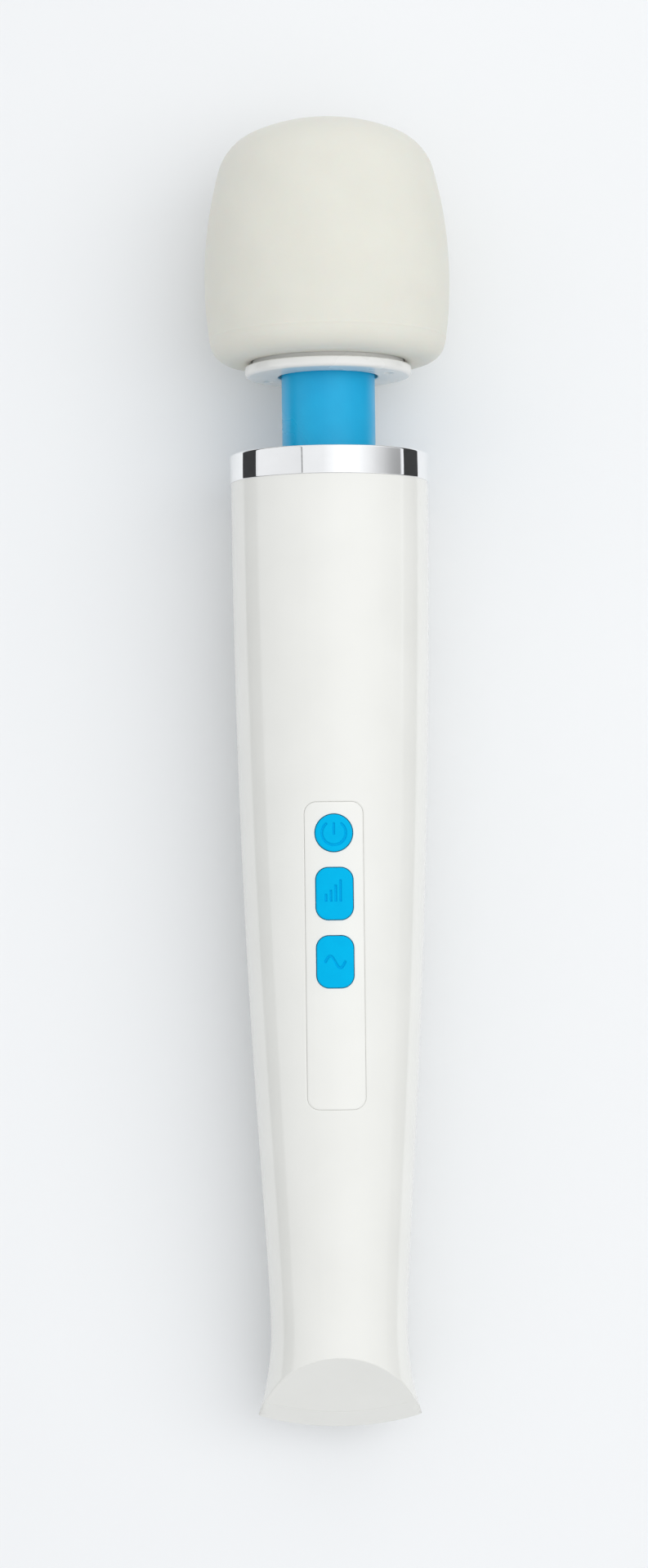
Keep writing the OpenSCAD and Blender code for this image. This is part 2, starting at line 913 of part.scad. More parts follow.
module neck_retainer() {
    color("ivory") lay_down() tube(deck_r, neck_r + 0.3, deck_at + 0.4, ring_top - 1);
}

module neck_sleeve() {
    low = sleeve_low + flange_t;
    top = plate_low + plate_h + 0.3;
    color("deepskyblue") lay_down() rotate_extrude() polygon([
        [sleeve_in_r, sleeve_low], [flange_r, sleeve_low], [flange_r, low], [neck_r, low],
        [neck_r, top], [flange_r, top], [flange_r, top + flange_t], [sleeve_in_r, top + flange_t]]);
}

module neck_spring() {
    turns = 9.5;
    steps = 114;
    rise = (spring_high - spring_low) / steps;
    color("silver") lay_down() sweep(
        [for (i = [0:steps]) let (t = turns * 360 * i / steps)
            [spring_r * cos(t), spring_r * sin(t), spring_low + rise * i]],
        wire_r, 6, [0, 0, 1]);
}

module lower_drive_hub() {
    color("goldenrod") lay_down() difference() {
        rod(hub_r, lower_hub[0], lower_hub[1]);
        rod(shaft_r, lower_hub[0] - 1, shaft_high);
        rod(flex_r, shaft_high - eps, lower_hub[1] + 1);
    }
}

module flexible_shaft() {
    color("gray") lay_down() rod(flex_r, flex[0], flex[1]);
}

module upper_drive_hub() {
    color("goldenrod") lay_down() difference() {
        rod(hub_r, upper_hub[0], upper_hub[1]);
        rod(flex_r + run_gap, upper_hub[0] - 1, ecc[0]);
        rod(ecc_r, ecc[0] - eps, upper_hub[1] + 1);
    }
}

// ---------- head ----------

module head_base_plate() {
    top = plate_low + plate_h;
    hole_turn = 23.5;
    color("white") lay_down() difference() {
        rotate_extrude() polygon(concat(
            [[12.9, plate_low]],
            arc([plate_r - 1.2, plate_low + 1.2], 1.2, -90, 0, 5),
            arc([plate_r - 0.5, top - 0.5], 0.5, 0, 90, 3),
            [[19.6, top], [19.6, top + 3.2], [18.6, top + 3.2], [18.6, top], [12.9, top]]));
        for (side = [0, 180]) rotate([0, 0, -hole_turn + side]) translate([16.9, 0, 0])
            rod(1, plate_low - 1, top + 1);
    }
}

module head_core_lower() {
    in_r = core_gap + cover_t;
    floor_low = head_low + in_r;
    color("#d8d4c8") lay_down() difference() {
        union() {
            rotate_extrude() polygon(concat(
                [[spigot_r, core_low], [spigot_r, core_recess_at], [recess_r, core_recess_at],
                    [recess_r, core_skirt_at], [core_skirt_r, core_skirt_at],
                    [core_skirt_r, floor_low]],
                below(head_side(in_r), core_split),
                [[barrel_radius(core_split, in_r), core_split],
                    [barrel_radius(core_split, in_r + core_t), core_split],
                    [barrel_radius(core_room[0], in_r + core_t), core_room[0]],
                    [web_r[0], core_web[0]], [web_r[1], core_web[0]],
                    [web_r[1], lower_bush_at + bush_h], [bush_r, lower_bush_at + bush_h],
                    [bush_r, lower_bush_at], [drive_room_r[0], lower_bush_at],
                    [drive_room_r[0], room_step_at], [drive_room_r[1], room_step_at],
                    [drive_room_r[1], core_low]]));
            core_bosses(core_web[0] - 1, core_split);
        }
        for (i = [0:3]) rotate([0, 0, 45 + 90 * i]) translate([core_screw_r, 0, 0]) {
            rod(1.3, core_low, core_split + 1);
            rod(2.2, core_low, core_screw_at);
        }
    }
}

module core_bosses(low, high) {
    for (i = [0:3]) rotate([0, 0, 45 + 90 * i]) translate([core_screw_r, 0, 0])
        rod(boss_r, low, high);
}

module head_core_upper() {
    in_r = core_gap + cover_t;
    thin = in_r + core_t;
    crown = above(head_side(thin), core_web[1]);
    color("#d8d4c8") lay_down() difference() {
        union() {
            rotate_extrude() polygon(concat(
                [[barrel_radius(core_split, in_r), core_split]],
                above(head_side(in_r), core_split),
                reverse(crown),
                [[barrel_radius(core_web[1], thin), core_web[1]], [web_r[1], core_web[1]],
                    [web_r[1], upper_bush_at + bush_h], [bush_r, upper_bush_at + bush_h],
                    [bush_r, upper_bush_at], [ecc_r + 0.8, upper_bush_at],
                    [ecc_r + 0.8, core_room[1]], [barrel_radius(core_room[1], thin), core_room[1]],
                    [barrel_radius(core_split, thin), core_split]]));
            core_bosses(core_split, core_room[1] + 1);
        }
        for (i = [0:3]) rotate([0, 0, 45 + 90 * i]) translate([core_screw_r, 0, 0])
            rod(pilot_r, core_split - 1, core_room[1] - 2);
    }
}

module core_screws() {
    color("silver") lay_down() for (i = [0:3]) rotate([0, 0, 45 + 90 * i])
        translate([core_screw_r, 0, core_screw_at]) screw(screw_r, 2.1, 1.6, 27);
}

module head_cover() {
    half_flat = 180 / cover_flats;
    color("antiquewhite") lay_down() difference() {
        hull() rotate([0, 0, half_flat]) rotate_extrude($fn = cover_flats) polygon(concat(
            [[0, head_low]],
            [for (p = head_side(0)) [p[0] / cos(half_flat), p[1]]]));
        rotate_extrude() polygon(concat(
            [[0, head_low - 1], [19.9, head_low - 1], [19.9, head_low + cover_t]],
            head_side(cover_t)));
    }
}

module lower_bushing() {
    color("peru") lay_down() tube(bush_r, ecc_r + run_gap, lower_bush_at, lower_bush_at + bush_h);
}

module upper_bushing() {
    color("peru") lay_down() tube(bush_r, ecc_r + run_gap, upper_bush_at, upper_bush_at + bush_h);
}

module thrust_washer() {
    low = lower_bush_at + bush_h;
    color("silver") lay_down() tube(6.5, ecc_r + 0.08, low, low + 0.8);
}

module eccentric_shaft() {
    color("lightgray") lay_down() rod(ecc_r, ecc[0], ecc[1]);
}

// The heavy half hangs towards the back, where it rests when the wand lies down
module eccentric_weight() {
    color("darkgray") lay_down() difference() {
        union() {
            rod(weight_hub_r, weight[0] - 1.4, weight[1]);
            intersection() {
                rod(weight_r, weight[0], weight[1]);
                translate([-30, 0, weight[0] - 5]) cube([60, 60, 30]);
            }
        }
        rod(ecc_r, weight[0] - 5, weight[1] + 5);
        translate([0, 0, weight_screw_at]) rotate([90, 0, 0]) cylinder(r = 1.5, h = 8);
    }
}

module weight_set_screw() {
    color("#303030") lay_down() translate([0, -ecc_r, weight_screw_at]) rotate([90, 0, 0])
        cylinder(r = 1.48, h = 3.6);
}

module shaft_clip() {
    clip_at = upper_bush_at + bush_h + 0.5;
    color("#303030") lay_down() difference() {
        rod(5.2, clip_at, clip_at + 0.8);
        rod(ecc_r, clip_at - 1, clip_at + 2);
        translate([-1.4, 0, clip_at - 1]) cube([2.8, 8, 3]);
    }
}

front_shell();
back_shell();
tail_cap();
shell_screws();
cap_screws();
control_panel();
power_button();
power_plunger();
intensity_button();
intensity_plunger();
pattern_button();
pattern_plunger();
circuit_board();
switch_bodies();
status_leds();
control_chip();
wire_connectors();
board_screws();
battery_cells();
battery_holder();
battery_wires();
dc_jack();
inlet_seal();
jack_wires();
motor_can();
motor_magnets();
motor_end_bell();
motor_shaft();
armature();
armature_windings();
commutator();
motor_mount();
motor_screws();
front_motor_damper();
rear_motor_damper();
motor_wires();
chrome_ring();
neck_collar();
neck_retainer();
neck_sleeve();
neck_spring();
lower_drive_hub();
flexible_shaft();
upper_drive_hub();
head_base_plate();
head_core_lower();
head_core_upper();
core_screws();
head_cover();
lower_bushing();
upper_bushing();
thrust_washer();
eccentric_shaft();
eccentric_weight();
weight_set_screw();
shaft_clip();
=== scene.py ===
import json
import math

import bmesh
import bpy
import numpy as np
from mathutils import Matrix, Vector
from mathutils.bvhtree import BVHTree
from mathutils.geometry import delaunay_2d_cdt


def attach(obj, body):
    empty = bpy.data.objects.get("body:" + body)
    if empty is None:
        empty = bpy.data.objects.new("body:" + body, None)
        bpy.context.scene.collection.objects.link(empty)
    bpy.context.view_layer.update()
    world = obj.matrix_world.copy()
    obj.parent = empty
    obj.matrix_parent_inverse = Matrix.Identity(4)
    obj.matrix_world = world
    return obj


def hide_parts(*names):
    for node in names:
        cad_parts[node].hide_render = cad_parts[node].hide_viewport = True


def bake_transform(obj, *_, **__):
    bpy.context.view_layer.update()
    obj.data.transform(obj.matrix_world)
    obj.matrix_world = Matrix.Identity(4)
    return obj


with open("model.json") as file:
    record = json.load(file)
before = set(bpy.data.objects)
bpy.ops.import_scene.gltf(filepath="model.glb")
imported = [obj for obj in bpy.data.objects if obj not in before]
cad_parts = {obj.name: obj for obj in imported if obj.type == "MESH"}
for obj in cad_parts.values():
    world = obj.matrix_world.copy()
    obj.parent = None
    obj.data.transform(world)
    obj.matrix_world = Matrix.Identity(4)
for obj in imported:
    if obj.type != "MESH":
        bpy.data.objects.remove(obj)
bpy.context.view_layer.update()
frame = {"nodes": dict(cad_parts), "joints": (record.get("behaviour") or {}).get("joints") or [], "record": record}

# ---------- the wand's own frame, in millimetres ----------
# x is to the right, front is away from the table, at is the distance up from the tail.
MM = 0.001
PIVOT_AT = 262.35
joints = {j["name"]: j for j in frame["joints"]}
AXIS = Vector(joints["motor_spin"]["axis"]).normalized()
FRONT = Vector((0, -AXIS.z, AXIS.y))
ORIGIN = Vector(joints["neck_nod"]["pos_m"]) - AXIS * PIVOT_AT * MM
TURN = np.array([[1, 0, 0], list(FRONT), list(AXIS)]) * MM

HANDLE_TOP, HANDLE_R = 245, 25.5
WAIST_AT, WAIST_R = 25, 17.75
WALL = 2.4
TAIL_R = 21.4
FACET_DROP = 3.5
DOME_LOW, DOME_R = -1.4, 55
SEAT_LOW, SEAT_R = 4.1, 57
TAIL_EDGE = DOME_LOW + DOME_R - math.sqrt(DOME_R**2 - TAIL_R**2)
BALL_SHIFT = 8 * SEAT_R
JACK_FRONT = -9.8
CAP_SCREWS = [(-12, -8.5), (12, -8.5)]
RING_R, RING_TOP = 25.7, 252.2
NECK_R, NECK_IN_R, FLANGE_R = 12.1, 9.7, 14.5
PLATE_R, PLATE_LOW, PLATE_TOP = 21.6, 272.5, 275.2
HEAD_LOW, HEAD_WIDE, HEAD_TOP = 276.2, 297.4, 339.1
HEAD_R, BARREL_R, SHOULDER_R, CORNER_R = 31.75, 106, 14, 6
BARREL = (HEAD_R - BARREL_R, HEAD_WIDE)
SHOULDER_TURN = 15.5


def place(points):
    """Points (x, front, at) in millimetres as points of the row frame in metres."""
    return np.asarray(points, float) @ TURN + np.array(ORIGIN)


def spot(x, front, at):
    return Vector(place([[x, front, at]])[0])


# ---------- curves ----------

def bezier(points, count):
    t = np.linspace(0, 1, count + 1)[:, None]
    p = [np.array(q, float) for q in points]
    u = 1 - t
    return u**3 * p[0] + 3 * u * u * t * p[1] + 3 * u * t * t * p[2] + t**3 * p[3]


def arc(centre, radius, start, end, count):
    turn = np.radians(np.linspace(start, end, count + 1))
    return np.array(centre) + radius * np.stack([np.cos(turn), np.sin(turn)], 1)


def smooth(t):
    t = np.clip(t, 0, 1)
    return t * t * (3 - 2 * t)


WAIST = (WAIST_R, WAIST_AT)
FLARE = bezier([(TAIL_R, TAIL_EDGE), (TAIL_R - 2, TAIL_EDGE + 5.4), (WAIST_R, 17), WAIST], 60)
TAPER = bezier([WAIST, (WAIST_R, 50), (HANDLE_R, 120), (HANDLE_R, 243.3)], 160)
SIDE = np.vstack([FLARE, TAPER[1:], [(HANDLE_R, HANDLE_TOP)]])


def handle_radius(at):
    return np.interp(at, SIDE[:, 1], SIDE[:, 0])


def seat_height(radius):
    return SEAT_LOW + SEAT_R - np.sqrt(SEAT_R**2 - np.square(radius))


def dome_height(radius):
    return DOME_LOW + DOME_R - np.sqrt(DOME_R**2 - np.square(radius))


def head_outline():
    """The soft head's outline as (radius, at), from its lower corner to the crown."""
    barrel = np.array(BARREL)
    low = HEAD_LOW + CORNER_R
    reach = math.sqrt((BARREL_R - CORNER_R) ** 2 - (low - HEAD_WIDE) ** 2)
    corner = np.array([barrel[0] + reach, low])
    turn = math.radians(SHOULDER_TURN)
    shoulder = barrel + (BARREL_R - SHOULDER_R) * np.array([math.cos(turn), math.sin(turn)])
    rise = HEAD_TOP - shoulder[1]
    crown_r = (shoulder[0] ** 2 + rise**2 - SHOULDER_R**2) / (2 * (rise - SHOULDER_R))
    crown = np.array([0, HEAD_TOP - crown_r])
    corner_turn = math.degrees(math.atan2(corner[1] - barrel[1], corner[0] - barrel[0]))
    crown_turn = math.degrees(math.atan2(shoulder[1] - crown[1], shoulder[0]))
    return [
        (corner, CORNER_R, -90, corner_turn, 16),
        (barrel, BARREL_R, corner_turn, SHOULDER_TURN, 70),
        (shoulder, SHOULDER_R, SHOULDER_TURN, crown_turn, 28),
        (crown, crown_r, crown_turn, 90, 26),
    ]


def head_side(inset):
    parts = [arc(c, r - inset, a, b, n) for c, r, a, b, n in head_outline()]
    return np.vstack([parts[0]] + [p[1:] for p in parts[1:]])


# ---------- meshes ----------

def new_object(name, points, faces, slot, sharp=35):
    """A mesh from points (x, front, at), welded, with outward normals and smooth faces."""
    mesh = bpy.data.meshes.new(name)
    mesh.from_pydata(place(points).tolist(), [], [list(f) for f in faces])
    obj = bpy.data.objects.new(name, mesh)
    bpy.context.scene.collection.objects.link(obj)
    tidy_mesh(obj, sharp)
    if slot:
        obj.data.materials.append(MATERIALS[slot])
    return obj


def tidy_mesh(obj, sharp):
    shape = bmesh.new()
    shape.from_mesh(obj.data)
    bmesh.ops.remove_doubles(shape, verts=shape.verts, dist=2e-6)
    bmesh.ops.dissolve_degenerate(shape, edges=shape.edges, dist=1e-7)
    bmesh.ops.recalc_face_normals(shape, faces=shape.faces)
    shape.to_mesh(obj.data)
    shape.free()
    obj.data.shade_smooth()
    obj.data.set_sharp_from_angle(angle=math.radians(sharp))


def grid_faces(rows, columns, first=0, loop=False):
    """Quads of a grid of points stored row by row; loop closes each row."""
    last = columns if loop else columns - 1
    return [
        (first + i * columns + j, first + i * columns + (j + 1) % columns,
         first + (i + 1) * columns + (j + 1) % columns, first + (i + 1) * columns + j)
        for i in range(rows - 1) for j in range(last)
    ]


def whole_turn(count):
    return np.linspace(0, 2 * math.pi, count, endpoint=False)


def capped_faces(rows, columns):
    """Quads between closed rings of points, with one face over each end."""
    end = (rows - 1) * columns
    ends = [tuple(range(columns)), tuple(range(end, end + columns))]
    return grid_faces(rows, columns, loop=True) + ends


def revolve(profile, count, closed=True):
    """Points and faces of a closed profile (radius, at) turned about the wand's axis."""
    profile = np.asarray(profile, float)
    points = [(r * math.sin(t), r * math.cos(t), a) for r, a in profile for t in whole_turn(count)]
    faces = grid_faces(len(profile), count, loop=True)
    if closed:
        end = (len(profile) - 1) * count
        faces += [(end + j, end + (j + 1) % count, (j + 1) % count, j) for j in range(count)]
    return points, faces


def turned(name, profile, count, slot, sharp=35):
    points, faces = revolve(profile, count)
    return new_object(name, points, faces, slot, sharp)


def fillet(points, radii, steps=4):
    """A closed profile with its corners rounded; radii gives one radius for each corner."""
    made = []
    count = len(points)
    for i, p in enumerate(points):
        p, r = np.array(p, float), radii[i]
        if r <= 0:
            made.append(p)
            continue
        a, b = np.array(points[i - 1], float) - p, np.array(points[(i + 1) % count], float) - p
        a, b = p + a * r / np.linalg.norm(a), p + b * r / np.linalg.norm(b)
        for t in np.linspace(0, 1, steps + 1):
            made.append((1 - t) ** 2 * a + 2 * t * (1 - t) * p + t * t * b)
    return np.array(made)


def combine(obj, tool, operation):
    """Cuts, joins or keeps the common part of obj and tool, and removes tool."""
    step = obj.modifiers.new("cut", "BOOLEAN")
    step.operation, step.object, step.solver = operation, tool, "MANIFOLD"
    graph = bpy.context.evaluated_depsgraph_get()
    made = bpy.data.meshes.new_from_object(obj.evaluated_get(graph))
    obj.modifiers.clear()
    if len(made.polygons) == len(obj.data.polygons):
        raise ValueError(f"{operation} left {obj.name} as it was")
    old = obj.data
    obj.data = made
    bpy.data.meshes.remove(old)
    bpy.data.objects.remove(tool)


def tool_object(points, faces):
    return new_object("tool", points, faces, None, 30)


def box_tool(low, high):
    x, f, a = zip(low, high)
    points = [(x[i], f[j], a[k]) for i in (0, 1) for j in (0, 1) for k in (0, 1)]
    faces = [(0, 1, 3, 2), (4, 6, 7, 5), (0, 4, 5, 1), (2, 3, 7, 6), (0, 2, 6, 4), (1, 5, 7, 3)]
    return tool_object(points, faces)


def drill(x, at, front, profile, along=False, count=48):
    """A turned cutter. profile is (radius, depth), and depth runs along front, or along at."""
    points = []
    for r, d in profile:
        for t in whole_turn(count):
            u, v = r * math.cos(t), r * math.sin(t)
            points.append((x + u, front + v, d) if along else (x + u, d, at + v))
    return tool_object(points, capped_faces(len(profile), count))


def copy_normals(obj, skin_mesh, reach=0.03):
    """Gives the parts of obj that lie on a finer skin that skin's smooth normals."""
    skin_mesh.calc_loop_triangles()
    co = np.array([v.co for v in skin_mesh.vertices])
    normals = np.array([v.normal for v in skin_mesh.vertices])
    triangles = [tuple(t.vertices) for t in skin_mesh.loop_triangles]
    tree = BVHTree.FromPolygons([Vector(c) for c in co], triangles)
    mesh = obj.data
    found = np.zeros((len(mesh.vertices), 3))
    for v in mesh.vertices:
        near, _, index, _ = tree.find_nearest(v.co, reach * MM)
        if near is None:
            continue
        corners = triangles[index]
        weights = 1 / (np.linalg.norm(co[list(corners)] - np.array(near), axis=1) + 1e-7) ** 2
        if weights.max() > 1e9:
            blend = normals[corners[int(weights.argmax())]]
        else:
            blend = barycentric(np.array(near), co[list(corners)]) @ normals[list(corners)]
        found[v.index] = blend / (np.linalg.norm(blend) + 1e-12)
    corner_vertex = np.zeros(len(mesh.loops), int)
    mesh.loops.foreach_get("vertex_index", corner_vertex)
    kept = np.array([c.vector for c in mesh.corner_normals])
    flat = np.repeat(np.array([p.normal for p in mesh.polygons]),
                     [p.loop_total for p in mesh.polygons], axis=0)
    wanted = found[corner_vertex]
    use = (flat * wanted).sum(1) > math.cos(math.radians(35))
    kept[use] = wanted[use]
    mesh.normals_split_custom_set(kept.tolist())


def barycentric(p, triangle):
    a, b, c = triangle
    u, v, w = b - a, c - a, p - a
    uu, uv, vv, wu, wv = u @ u, u @ v, v @ v, w @ u, w @ v
    scale = uu * vv - uv * uv
    if abs(scale) < 1e-24:
        return np.array([1, 0, 0])
    s, t = (vv * wu - uv * wv) / scale, (uu * wv - uv * wu) / scale
    return np.array([1 - s - t, s, t])


# ---------- materials ----------

def material(name, base, other, rough, scale=900, metal=0.0, bump=0.0, fine=2600,
             coat=0.0, coat_rough=0.05, sheen=0.0, stretch=(1, 1, 1), pattern="noise",
             depth=0.00002, amount=0.5, specular=0.5, subsurface=0.0):
    """A procedural finish: two tones mixed by a pattern, uneven gloss and a fine relief."""
    made = bpy.data.materials.new(name)
    made.use_nodes = True
    nodes, links = made.node_tree.nodes, made.node_tree.links
    shader = nodes["Principled BSDF"]
    shader.inputs["Metallic"].default_value = metal
    shader.inputs["Coat Weight"].default_value = coat
    shader.inputs["Coat Roughness"].default_value = coat_rough
    shader.inputs["Sheen Weight"].default_value = sheen
    shader.inputs["Specular IOR Level"].default_value = specular
    shader.inputs["Subsurface Weight"].default_value = subsurface
    shader.inputs["Subsurface Scale"].default_value = 0.001
    where = nodes.new("ShaderNodeTexCoord")
    spread = nodes.new("ShaderNodeMapping")
    spread.inputs["Scale"].default_value = stretch
    links.new(where.outputs["Object"], spread.inputs["Vector"])
    tone = pattern_node(nodes, links, spread, pattern, scale)
    mix = nodes.new("ShaderNodeMix")
    mix.data_type = "RGBA"
    mix.inputs["A"].default_value = (*base, 1)
    mix.inputs["B"].default_value = (*other, 1)
    level = map_range(nodes, 0.5 - amount / 2, 0.5 + amount / 2)
    links.new(tone, level.inputs["Value"])
    links.new(level.outputs["Result"], mix.inputs["Factor"])
    links.new(mix.outputs["Result"], shader.inputs["Base Color"])
    gloss = nodes.new("ShaderNodeTexNoise")
    gloss.inputs["Scale"].default_value = scale * 0.37
    gloss.inputs["Detail"].default_value = 3
    links.new(spread.outputs["Vector"], gloss.inputs["Vector"])
    polish = map_range(nodes, 0.3, 0.7, *rough)
    links.new(gloss.outputs["Fac"], polish.inputs["Value"])
    links.new(polish.outputs["Result"], shader.inputs["Roughness"])
    if bump:
        grain = nodes.new("ShaderNodeTexNoise")
        grain.inputs["Scale"].default_value = fine
        grain.inputs["Detail"].default_value = 2
        links.new(spread.outputs["Vector"], grain.inputs["Vector"])
        relief = nodes.new("ShaderNodeBump")
        relief.inputs["Strength"].default_value = bump
        relief.inputs["Distance"].default_value = depth
        links.new(grain.outputs["Fac"], relief.inputs["Height"])
        links.new(relief.outputs["Normal"], shader.inputs["Normal"])
    return made


def map_range(nodes, low, high, to_low=0.0, to_high=1.0):
    node = nodes.new("ShaderNodeMapRange")
    for name, value in (("From Min", low), ("From Max", high), ("To Min", to_low),
                        ("To Max", to_high)):
        node.inputs[name].default_value = value
    return node


def pattern_node(nodes, links, spread, pattern, scale):
    if pattern == "layers":
        node = nodes.new("ShaderNodeTexWave")
        node.bands_direction = "Y"
        node.inputs["Scale"].default_value = scale
        node.inputs["Distortion"].default_value = 0.3
    elif pattern == "windings":
        node = nodes.new("ShaderNodeTexWave")
        node.wave_type = "RINGS"
        node.rings_direction = "Y"
        node.inputs["Scale"].default_value = scale
        node.inputs["Distortion"].default_value = 1.5
    elif pattern == "cells":
        node = nodes.new("ShaderNodeTexVoronoi")
        node.inputs["Scale"].default_value = scale
        links.new(spread.outputs["Vector"], node.inputs["Vector"])
        return node.outputs["Distance"]
    else:
        node = nodes.new("ShaderNodeTexNoise")
        node.inputs["Scale"].default_value = scale
        node.inputs["Detail"].default_value = 5
    links.new(spread.outputs["Vector"], node.inputs["Vector"])
    return node.outputs["Fac"]


BRUSHED = (1, 0.05, 1)
MATERIALS = {}


def add_finish(name, *tones, **look):
    MATERIALS[name] = material(name, *tones, **look)


add_finish("shell_ivory", (0.80, 0.80, 0.765), (0.77, 0.77, 0.735), (0.1, 0.2), scale=60, bump=0.25,
           fine=230, depth=0.00004, coat=0.35, coat_rough=0.04)
add_finish("panel_ivory", (0.82, 0.82, 0.785), (0.79, 0.79, 0.755), (0.12, 0.24), scale=80, bump=0.25,
           fine=260, depth=0.00004, coat=0.3, coat_rough=0.05)
add_finish("retainer_ivory", (0.74, 0.72, 0.66), (0.68, 0.66, 0.6), (0.22, 0.36), scale=140, bump=0.2,
           fine=700)
add_finish("plate_white", (0.82, 0.82, 0.80), (0.78, 0.78, 0.76), (0.16, 0.28), scale=120, bump=0.2,
           fine=420, coat=0.2)
add_finish("cover_silicone", (0.725, 0.718, 0.645), (0.70, 0.692, 0.62), (0.52, 0.68), scale=95,
           bump=0.5, fine=2300, depth=0.00005, sheen=0.12, subsurface=0.12)
add_finish("neck_blue", (0.0, 0.41, 0.72), (0.0, 0.37, 0.68), (0.22, 0.42), scale=130, bump=0.35,
           fine=1500, depth=0.00004, specular=0.42)
add_finish("button_blue", (0.0, 0.45, 0.78), (0.0, 0.42, 0.75), (0.38, 0.5), scale=320, bump=0.3,
           fine=2600, depth=0.00003, specular=0.04)
add_finish("ring_chrome", (0.97, 0.975, 0.98), (0.94, 0.945, 0.95), (0.015, 0.04), scale=260, metal=1,
           bump=0.06, fine=1800, depth=0.00001)
add_finish("core_plastic", (0.5, 0.48, 0.43), (0.42, 0.4, 0.36), (0.45, 0.65), scale=700, bump=0.4,
           fine=3200, depth=0.00005)
add_finish("dark_plastic", (0.035, 0.035, 0.037), (0.022, 0.022, 0.024), (0.35, 0.55), scale=500,
           bump=0.3, fine=3600, depth=0.00004)
add_finish("grey_plastic", (0.13, 0.13, 0.14), (0.09, 0.09, 0.1), (0.4, 0.6), scale=420, bump=0.35,
           fine=3000, depth=0.00004)
add_finish("white_plastic", (0.76, 0.75, 0.7), (0.7, 0.69, 0.64), (0.35, 0.5), scale=500, bump=0.3,
           fine=3400, depth=0.00003)
add_finish("screw_steel", (0.58, 0.6, 0.63), (0.45, 0.46, 0.5), (0.18, 0.36), scale=1500, metal=1,
           bump=0.25, fine=5200, depth=0.00001)
add_finish("shaft_steel", (0.6, 0.6, 0.62), (0.5, 0.5, 0.52), (0.12, 0.26), scale=1600, metal=1,
           bump=0.2, fine=4200, stretch=BRUSHED, depth=0.00001)
add_finish("spring_steel", (0.42, 0.42, 0.44), (0.3, 0.29, 0.29), (0.2, 0.4), scale=1200, metal=1,
           bump=0.3, fine=4600, depth=0.00002)
add_finish("can_steel", (0.56, 0.57, 0.6), (0.47, 0.48, 0.52), (0.2, 0.36), scale=900, metal=1,
           bump=0.25, fine=2600, stretch=BRUSHED, depth=0.00002)
add_finish("iron_lamination", (0.3, 0.3, 0.32), (0.12, 0.12, 0.13), (0.35, 0.55), scale=700, metal=1,
           bump=0.4, fine=2400, pattern="layers")
add_finish("magnet_ferrite", (0.07, 0.07, 0.075), (0.045, 0.045, 0.05), (0.5, 0.7), scale=900,
           bump=0.5, fine=3800, depth=0.00005)
add_finish("weight_steel", (0.33, 0.33, 0.34), (0.24, 0.24, 0.25), (0.4, 0.6), scale=1300, metal=1,
           bump=0.5, fine=4200, depth=0.00004)
add_finish("bronze", (0.56, 0.33, 0.14), (0.42, 0.24, 0.1), (0.3, 0.5), scale=1500, metal=1,
           bump=0.45, fine=4800, depth=0.00003)
add_finish("brass", (0.7, 0.5, 0.2), (0.6, 0.42, 0.15), (0.16, 0.3), scale=900, metal=1, bump=0.2,
           fine=3000, stretch=BRUSHED, depth=0.00001)
add_finish("copper", (0.66, 0.29, 0.12), (0.32, 0.12, 0.05), (0.22, 0.4), scale=330, metal=1,
           bump=0.4, fine=2200, pattern="windings")
add_finish("damper_rubber", (0.025, 0.025, 0.026), (0.016, 0.016, 0.017), (0.6, 0.8), scale=700,
           bump=0.5, fine=3000, depth=0.00006)
add_finish("board_green", (0.012, 0.16, 0.07), (0.03, 0.3, 0.13), (0.25, 0.4), scale=420, bump=0.3,
           fine=1500, pattern="cells", amount=0.3)
add_finish("cell_wrap", (0.03, 0.11, 0.38), (0.022, 0.08, 0.3), (0.18, 0.34), scale=200, bump=0.35,
           fine=700, coat=0.3)
add_finish("wire_red", (0.5, 0.02, 0.02), (0.4, 0.012, 0.012), (0.35, 0.5), scale=700, bump=0.3,
           fine=2600, depth=0.00003)
add_finish("led_clear", (0.8, 0.82, 0.74), (0.7, 0.72, 0.62), (0.08, 0.2), scale=1200, bump=0.15,
           fine=4000, coat=0.5)


def dress_cad():
    """Gives each CAD node the finish of its slot in the record."""
    for part in frame["record"]["subparts"]:
        node = frame["nodes"][part["node"]]
        node.data.materials.clear()
        node.data.materials.append(MATERIALS[part["material_slot"]])


# ---------- handle skin ----------

def edge_steps(first, growth, largest, total):
    """Distances from 0 to total whose steps grow from first up to largest, as shares of total."""
    made, step = [0.0], first
    while made[-1] + step < total:
        made.append(made[-1] + step)
        step = min(step * growth, largest)
    made.append(total)
    return np.array(made) / total


# The fine line between the shells and the cap: how high and how far in their rims are bevelled.
RIM_HIGH, RIM_IN = 0.12, 0.1
LOWER_STEP = 0.3
CREASE_CENTRE = np.array([0, -8.0])
ARC_STEPS = edge_steps(0.09, 1.35, 1.25, 62)
LOWER_STEPS = edge_steps(0.02, 1.7, LOWER_STEP, 13.7)
UPPER_STEPS = np.concatenate([[0], edge_steps(0.1, 1.25, 1.6, 223.6)[1:]])
FACET_STEPS = edge_steps(0.08, 1.3, 0.8, 24.5)


def facet_drop(inset):
    return FACET_DROP + inset * math.sqrt(2)


def facet_limits(inset):
    """Heights where the facet's tip and its side corners lie on the skin."""
    low = crossing(lambda at: at - seat_height(handle_radius(at) - inset))
    tip = crossing(lambda at: at - facet_drop(inset) - handle_radius(at) + inset)
    return low, tip


def crossing(rise):
    """The height between 5 and 30 where rise turns from negative to positive."""
    low, high = 5.0, 30.0
    for _ in range(60):
        middle = (low + high) / 2
        low, high = (low, middle) if rise(middle) > 0 else (middle, high)
    return high


def facet_turn(at, inset):
    share = (at - facet_drop(inset)) / (handle_radius(at) - inset)
    return np.arccos(np.clip(share, -1, 1))


